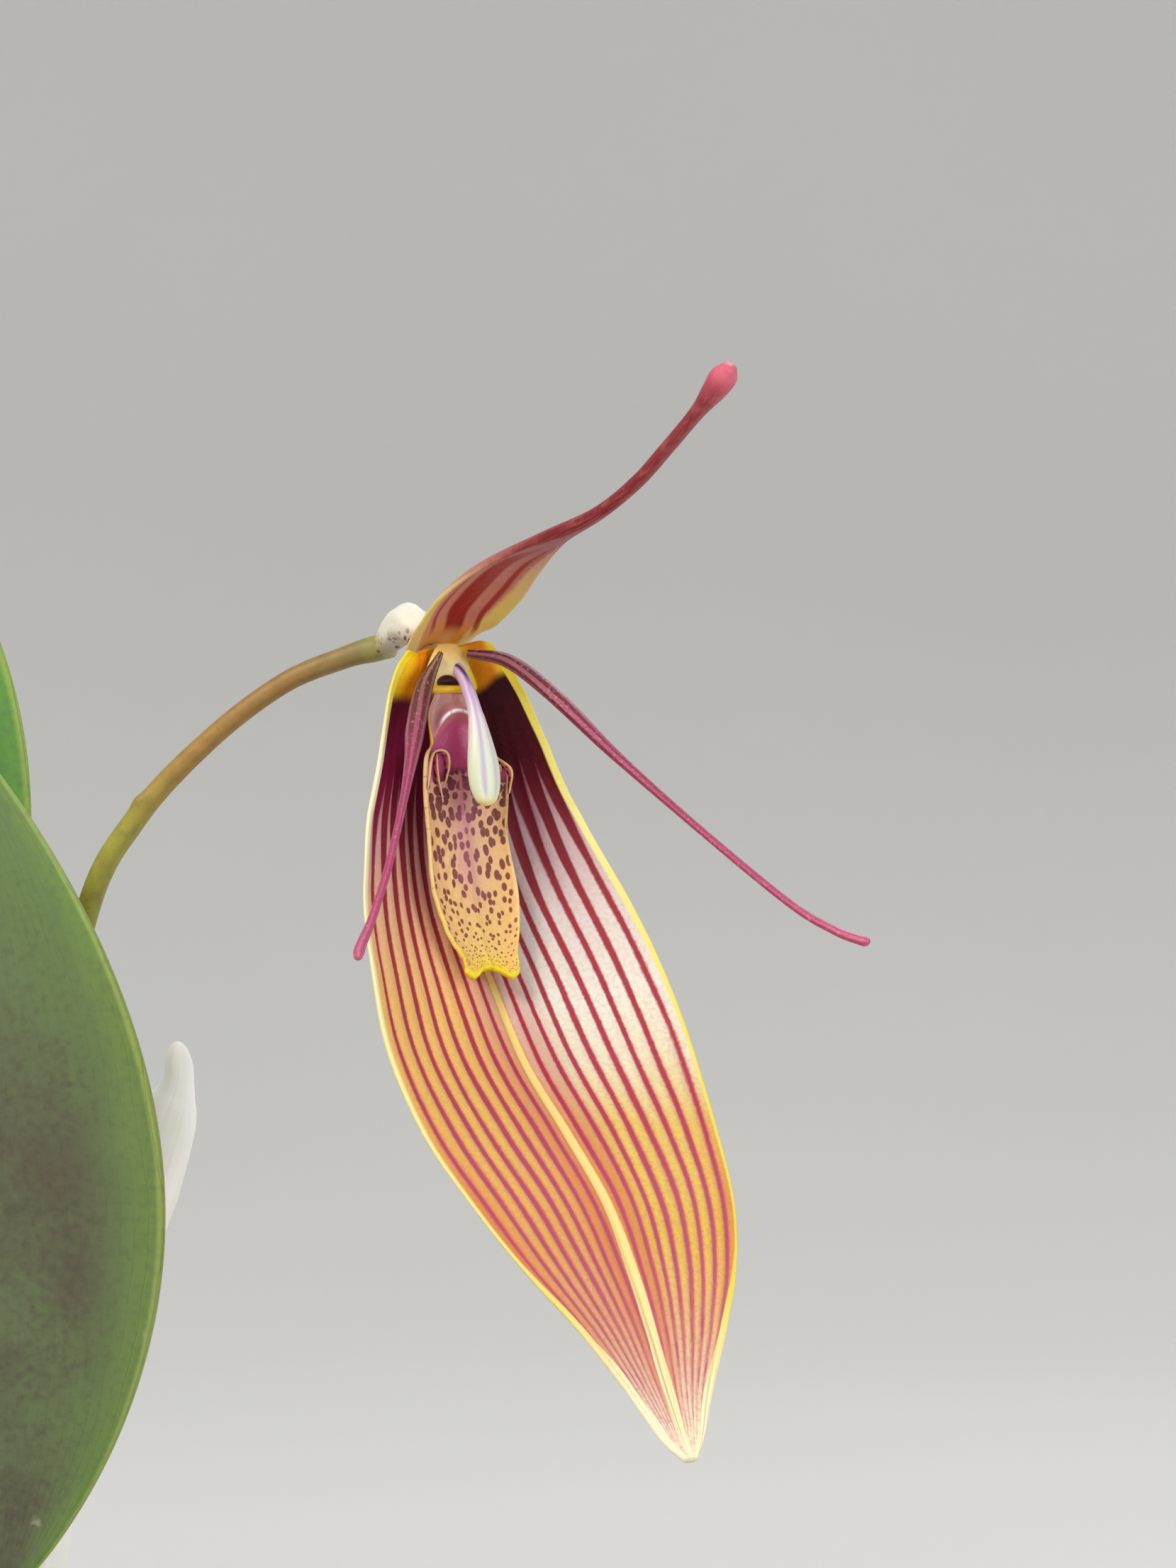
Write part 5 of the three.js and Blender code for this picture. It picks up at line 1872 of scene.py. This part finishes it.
@dataclass
class DorsalSepal:
    """The narrow top sepal, drawn out into a thread with a clubbed end."""

    rows: Rows = ((-0.6, 1.4, 1.55, 0.3, 0.32), (0.8, 2.5, 2.05, 0.5, 0.32),
                  (2.9, 3.75, 2.2, 0.55, 0.32), (5.5, 4.85, 1.75, 0.4, 0.32),
                  (9.7, 5.75, 0.8, 0.1, 0.36), (13.7, 6.7, 0.38, 0, 0.32),
                  (17, 8, 0.36, 0, 0.3), (19.5, 9.4, 0.36, 0, 0.3), (22, 10.9, 0.38, 0, 0.32),
                  (23.4, 11.8, 0.58, 0, 0.5), (24.2, 12.4, 0.64, 0, 0.58),
                  (24.7, 12.8, 0.36, 0, 0.32))
    face: Triple = (0, -0.7, -1)
    blade_thick: float = 0.16
    grid: tuple[int, int] = (150, 30)
    rib: float = 0.03
    curl: float = 0.32
    tuck: float = 0.55
    left_tuck: float = 0.5

    def girth(self, t: Array) -> Array:
        """Half width, cupping and half thickness, thin where the blade is broad."""
        found = Curve([row[2:] for row in self.rows]).at(t)
        thread = ease(t, 0.26, 0.4)
        found[:, 2] = self.blade_thick + (found[:, 2] - self.blade_thick) * thread
        return found

    def roundness(self, t: Array) -> Array:
        """0 on the blade, 1 on the thread."""
        return ease(t, 0.28, 0.42)

    def ribs(self, t: Array, u: Array) -> Array:
        """Fine ribs on the blade."""
        return self.rib * np.cos(9 * u) * (1 - ease(t, 0.2, 0.35))

    def tucks(self, t: Array, u: Array) -> Array:
        """How far the base is drawn back, more so on its left."""
        return -(self.tuck * hill(t, 0, 0.03) * (1 - 0.5 * u * u)
                 + self.left_tuck * hill(t, 0, 0.07) * ease(-u, 0.1, 0.7))

    def curls(self, t: Array, u: Array) -> Array:
        """How far the blade's edges curl up."""
        return self.curl * np.abs(u) ** 5 * ease(t, 0.02, 0.1) * (1 - ease(t, 0.25, 0.4))

    def build(self, flower: Flower) -> None:
        """Builds blade, thread and club in one."""
        blade = Sheet(forward_path(self.rows), self.girth, self.face, *self.grid,
                      self.blade_thick, 0.4, self.roundness)
        shape = Shape()
        shape.sheet(*blade.faces(self.ribs, self.tucks, self.curls))
        flower.finish(shape, "dorsal_sepal_blade", [DorsalTissue("dorsal_striped")],
                      Slot.DORSAL, "dorsal_sepal")


@dataclass
class Petals:
    """The two thread-like petals with clubbed ends."""

    right: Rows = ((0.45, 1.3, 0.5, 0.2, 0.2), (2.1, 2.4, 0.12, 0.44, 0.34),
                   (3.7, 4.05, -1.6, 0.44, 0.34), (5.5, 6.7, -4.45, 0.32, 0.3),
                   (8.1, 10.25, -8.05, 0.3, 0.3), (10.6, 13.7, -11.3, 0.3, 0.3),
                   (11.9, 15.4, -12.5, 0.36, 0.34), (12.6, 16.5, -12.95, 0.38, 0.36),
                   (12.9, 16.9, -13.05, 0.2, 0.2))
    left: Rows = ((-1.05, 1.35, 0.5, 0.13, 0.13), (-2.3, 1.95, -1.1, 0.4, 0.34),
                  (-3.75, 3.6, -3, 0.44, 0.34), (-5.1, 5.45, -4.6, 0.36, 0.32),
                  (-7, 7.8, -7, 0.3, 0.3), (-9, 10.05, -9.5, 0.3, 0.3),
                  (-11, 12.1, -11.7, 0.32, 0.3), (-12.5, 13.6, -13, 0.38, 0.36),
                  (-13.05, 14.3, -13.5, 0.2, 0.2))
    face: Triple = (0, -0.4, 1)
    slimming: float = 0.38
    rings: int = 120
    sides: int = 26

    def build(self, flower: Flower) -> None:
        """Builds both petals."""
        rosy = ThreadTissue("thread_rosy")
        tan = ThreadTissue("thread_tan", base="9a7850", middle="84604e", dark="4a2420")
        for name, rows, finish in (("petal_right", self.right, rosy),
                                   ("petal_left", self.left, tan)):
            t = np.linspace(0, 1, self.rings)
            girth = Curve([row[3:] for row in rows]).at(t)
            slim = 1 - self.slimming * ease(t, 0.28, 0.5) * (1 - 0.5 * ease(t, 0.85, 0.95))
            girth = girth * slim[:, None]
            fade = (1 - ease(t, 0.3, 0.6))[:, None]
            groove = 1 + 0.05 * np.cos(8 * turns(self.sides))[None] * fade
            end = np.sqrt(1 - ease(t, 0.985, 1.0) * 0.8)[:, None]
            width, depth = girth[:, :1] * groove * end, girth[:, 1:] * groove * end
            shape = Shape()
            shape.tube(ring_points(sideways_path(rows), t, self.face, width, depth, self.sides), t)
            flower.finish(shape, f"{name}_thread", [finish], Slot.THREAD, name)


@dataclass
class Lip:
    """The fiddle-shaped lip with raised margins and a notched end."""

    rows: Rows = ((-0.25, 1.35, -1.65, 1, -0.2), (-0.35, 1.6, -2.5, 1.45, -0.2),
                  (-0.35, 1.8, -4, 1.65, 0.1), (-0.45, 1.95, -5, 2.35, 0.7),
                  (-0.45, 2.1, -6.3, 2.35, 0.5), (-0.45, 2.45, -8.3, 2.2, 0.25),
                  (-0.5, 3.2, -10.9, 2.35, 0.3), (-0.65, 4.2, -12.9, 2, 0.25),
                  (-0.7, 5, -14, 1.55, 0.2), (-0.75, 5.5, -14.6, 1.5, 0.15))
    face: Triple = (0, -1, 0.3)
    half_thick: float = 0.13
    notch: float = 0.3
    notch_ease: int = 12
    grid: tuple[int, int] = (120, 64)
    ear_steps: int = 28
    brow: float = 0.3
    ears: tuple[Rows, ...] = (
        ((0.44, -1.0, 0.04), (0.37, -1.0, 0.26), (0.31, -0.95, 0.34), (0.275, -0.8, 0.36),
         (0.268, -0.62, 0.4), (0.29, -0.46, 0.44), (0.33, -0.38, 0.42), (0.37, -0.38, 0.25),
         (0.41, -0.42, 0.02)),
        ((0.28, -0.72, 0.05), (0.33, -0.72, 0.32), (0.38, -0.66, 0.3), (0.43, -0.56, 0.15),
         (0.47, -0.48, 0.02)),
        ((0.24, 0.72, 0.05), (0.26, 0.8, 0.32), (0.3, 0.9, 0.4), (0.36, 0.99, 0.34),
         (0.45, 1.0, 0.06)),
        ((0.255, 0.66, 0.05), (0.285, 0.72, 0.3), (0.32, 0.8, 0.3), (0.35, 0.84, 0.03)))

    def relief(self, t: Array, u: Array) -> Array:
        """Raised margins, a middle ridge and warts."""
        s = np.abs(u)
        rim = 0.24 * s ** 10 * (1 - ease(t, 0.9, 1))
        crest = 0.34 * hill(t - 0.11 * s * s, 0.09, 0.03) * (1 - s ** 3)
        ridge = 0.07 * hill(u, 0, 0.1) * ease(t, 0.3, 0.45)
        warts = 0.03 * np.sin(t * 120 + 5 * np.sin(u * 9)) * np.sin(u * 21 + 3 * t)
        return rim + crest + ridge + warts * ease(t, 0.35, 0.5)

    def lobes(self, t: Array, u: Array) -> Array:
        """How far the notched end and the brow are drawn along the path."""
        lobe = 2.1 * hill(np.abs(u), 0.72, 0.35) - 1 + 0.4 * u
        end = self.notch * t ** self.notch_ease * lobe
        return end - self.brow * hill(t, 0, 0.03) * (1 - 0.5 * u * u)

    def build(self, flower: Flower) -> None:
        """Builds the lip."""
        widths = Curve([row[3:] for row in self.rows])
        blade = Sheet(sideways_path(self.rows), widths.at, self.face, *self.grid,
                      self.half_thick, 0.5)
        front, back, marks = blade.faces(self.relief, self.lobes)
        shape = Shape()
        shape.sheet(front, back, marks)
        for rows in self.ears:
            self.ear(shape, front, marks, np.array(rows))
        finishes = [LipTissue("lip_spotted"), RimTissue("ear_rim")]
        flower.finish(shape, "lip_blade", finishes, Slot.LIP, "lip")

    def ear(self, shape: Shape, front: Array, marks: Array, rows: Array) -> None:
        """Adds one thin erect flap that stands on the lip.

        Args:
            shape: the lip's shape.
            front: the grid of the lip's upper face.
            marks: its pattern places.
            rows: the flap's line as [along, right, height] rows.
        """
        steps = np.linspace(0, 1, self.ear_steps)
        line = Curve(rows).at(steps)
        row = line[:, 0] * (len(front) - 1)
        across = (1 - np.clip(line[:, 1], -0.99, 0.99)) / 2
        column = np.interp(across, marks[0, :, 0], np.arange(front.shape[1]))
        foot = front[row.astype(int), column.astype(int)]
        foot = np.stack([np.convolve(np.pad(foot[:, i], 2, "edge"), np.ones(5) / 5, "valid")
                         for i in range(3)], -1)
        look = unit(np.array(self.face, float))
        tall = np.maximum(line[:, 2], 0.01)[:, None]
        levels = np.linspace(-0.12, 1, 5)
        sheet = np.stack([foot + look * tall * level for level in levels], 1)
        side = unit(np.cross(np.gradient(foot, axis=0), look))[:, None]
        thin = 0.055 * (1 - 0.35 * levels)[None, :, None]
        places = np.stack(np.broadcast_arrays(np.clip(levels, 0, 1)[None], steps[:, None]), -1)
        shape.sheet(sheet + side * thin, sheet - side * thin, places, under=1, slot=1)


@dataclass
class Column:
    """The club-shaped column on its broad foot."""

    club: Rows = ((1, -0.2, 0.34, 0.34), (1.6, -0.6, 0.3, 0.3), (2.3, -1.5, 0.32, 0.3),
                  (2.75, -2.3, 0.36, 0.32), (3.1, -3.25, 0.52, 0.42), (3.45, -4.6, 0.72, 0.5),
                  (3.65, -5.7, 0.73, 0.48), (3.8, -6.45, 0.5, 0.36), (3.85, -6.7, 0.2, 0.16))
    foot: Rows = ((0.85, 0.95, 0.5, 0.2), (0.9, 0.5, 0.85, 0.28), (0.95, -0.4, 1.3, 0.34),
                  (1, -1, 1.5, 0.38), (1.05, -1.42, 1.2, 0.3))
    face: Triple = (0, -1, 0.2)
    foot_shift: float = -0.38
    club_rings: int = 70
    foot_rings: int = 60
    sides: int = 40
    hollow: tuple[float, float] = (-0.62, -0.8)

    def part(self, shape: Shape, rows: Rows, rings: int, slot: int) -> None:
        """Adds one of the column's two parts."""
        t = np.linspace(0, 1, rings)
        girth = Curve([row[2:] for row in rows]).at(t)
        girth = girth * (1 if slot else 1 + 0.1 * ease(t, 0.4, 0.7)[:, None])
        points = ring_points(forward_path(rows), t, self.face, girth[:, :1], girth[:, 1:],
                             self.sides)
        if slot:
            points[..., 0] += self.foot_shift
            x, y, z = points[..., 0], points[..., 1], points[..., 2]
            front = y < -0.9
            dent = 0.3 * hill(x, self.hollow[0], 0.5) * hill(z, self.hollow[1], 0.24) * front
            lip_rim = 0.16 * hill(z, -1.22, 0.2) * front
            points[..., 1] = y + dent - lip_rim
        shape.tube(points, t, slot)

    def build(self, flower: Flower) -> None:
        """Builds club and foot in one piece."""
        shape = Shape()
        self.part(shape, self.club, self.club_rings, 0)
        self.part(shape, self.foot, self.foot_rings, 1)
        finishes = [ColumnTissue("column_lavender"), FootTissue("foot_tissue")]
        flower.finish(shape, "column_club", finishes, Slot.COLUMN, "column")


# The studio.


@dataclass
class Studio:
    """Camera, pale floor and soft lights."""

    camera_place: Triple = (34, -318, 172)
    lens: float = 146.47
    floor_radius: float = 1600
    sweep: float = 1200
    wall_height: float = 3400
    sides: int = 96
    sensor: float = 36
    aim: Triple = (0.02, -0.01, 0.14)
    lamps: tuple[tuple[str, Triple, float, float, str], ...] = (
        ("key_light", (-0.75, -1.0, 1.25), 0.6, 18, "fff8ee"),
        ("fill_light", (1.3, -0.9, 0.7), 1.0, 8, "f2f6ff"),
        ("back_light", (0.4, 1.4, 1.3), 0.9, 8, "ffffff"))
    sky: str = "f4f6fa"
    sky_strength: float = 0.68

    def camera(self) -> None:
        """Sets the camera where the picture was taken from, looking level along +Y."""
        data = bpy.data.cameras.new("camera")
        data.lens, data.sensor_width, data.sensor_fit = self.lens, self.sensor, "AUTO"
        data.clip_start, data.clip_end = 0.02, 20
        eye = new_object("camera", data)
        eye.location = Vector(self.camera_place) * MM
        eye.rotation_euler = (math.pi / 2, 0, 0)
        bpy.context.scene.camera = eye

    def backdrop(self) -> None:
        """A floor that sweeps up into a round wall, open above."""
        arc = np.linspace(0, np.pi / 2, 24)
        radius = np.concatenate([[20, 400, 900], self.floor_radius + self.sweep * np.sin(arc)])
        height = np.concatenate([[0, 0, 0], self.sweep * (1 - np.cos(arc))])
        radius = np.append(radius, radius[-1])
        height = np.append(height, self.wall_height)
        angle = turns(self.sides, closed=True)
        radius, height = radius[:, None], height[:, None]
        points = np.stack(np.broadcast_arrays(radius * np.cos(angle), radius * np.sin(angle),
                                              height), -1)
        shape = Shape()
        numbers = shape.put(points)
        marks = np.zeros_like(points[..., :2])
        shape.quads(numbers, marks)
        shape.fan(numbers[0, :-1], np.zeros(3), marks[0])
        floor = shape.build("studio_floor", [StudioPaint("studio_paint")])

    def lamp(self, name: str, place: Triple, size: float, power: float, warmth: str) -> None:
        """Hangs one square soft light that looks at the flower.

        Args:
            name: the light's name.
            place: where it hangs, in metres.
            size: the length of its sides, in metres.
            power: its power, in watts.
            warmth: its colour's digits.
        """
        data = bpy.data.lights.new(name, "AREA")
        data.shape, data.size, data.energy = "SQUARE", size, power
        data.color = paint(warmth)[:3]
        lamp = new_object(name, data)
        lamp.location = Vector(place)
        way = Vector(self.aim) - lamp.location
        lamp.rotation_euler = way.to_track_quat("-Z", "Y").to_euler()

    def build(self) -> None:
        """Sets camera, backdrop, lights and the even light all round."""
        self.camera()
        self.backdrop()
        for lamp in self.lamps:
            self.lamp(*lamp)
        world = bpy.data.worlds.new("studio")
        world.use_nodes = True
        sky = world.node_tree.nodes["Background"]
        sky.inputs["Color"].default_value = paint(self.sky)
        sky.inputs["Strength"].default_value = self.sky_strength
        bpy.context.scene.world = world
        bpy.context.scene.view_settings.view_transform = "Standard"


def main() -> None:
    """Builds everything in order."""
    logging.basicConfig(level=logging.INFO, format="%(name)s: %(message)s")
    Studio().build()
    pot = Pot()
    pot.build()
    BarkBed(pot).build()
    Rhizome().build()
    Ramicauls().build()
    Leaves().build()
    YoungShoot().build()
    FlowerStalk().build()
    Flower().build()


if __name__ == "__main__":
    main()
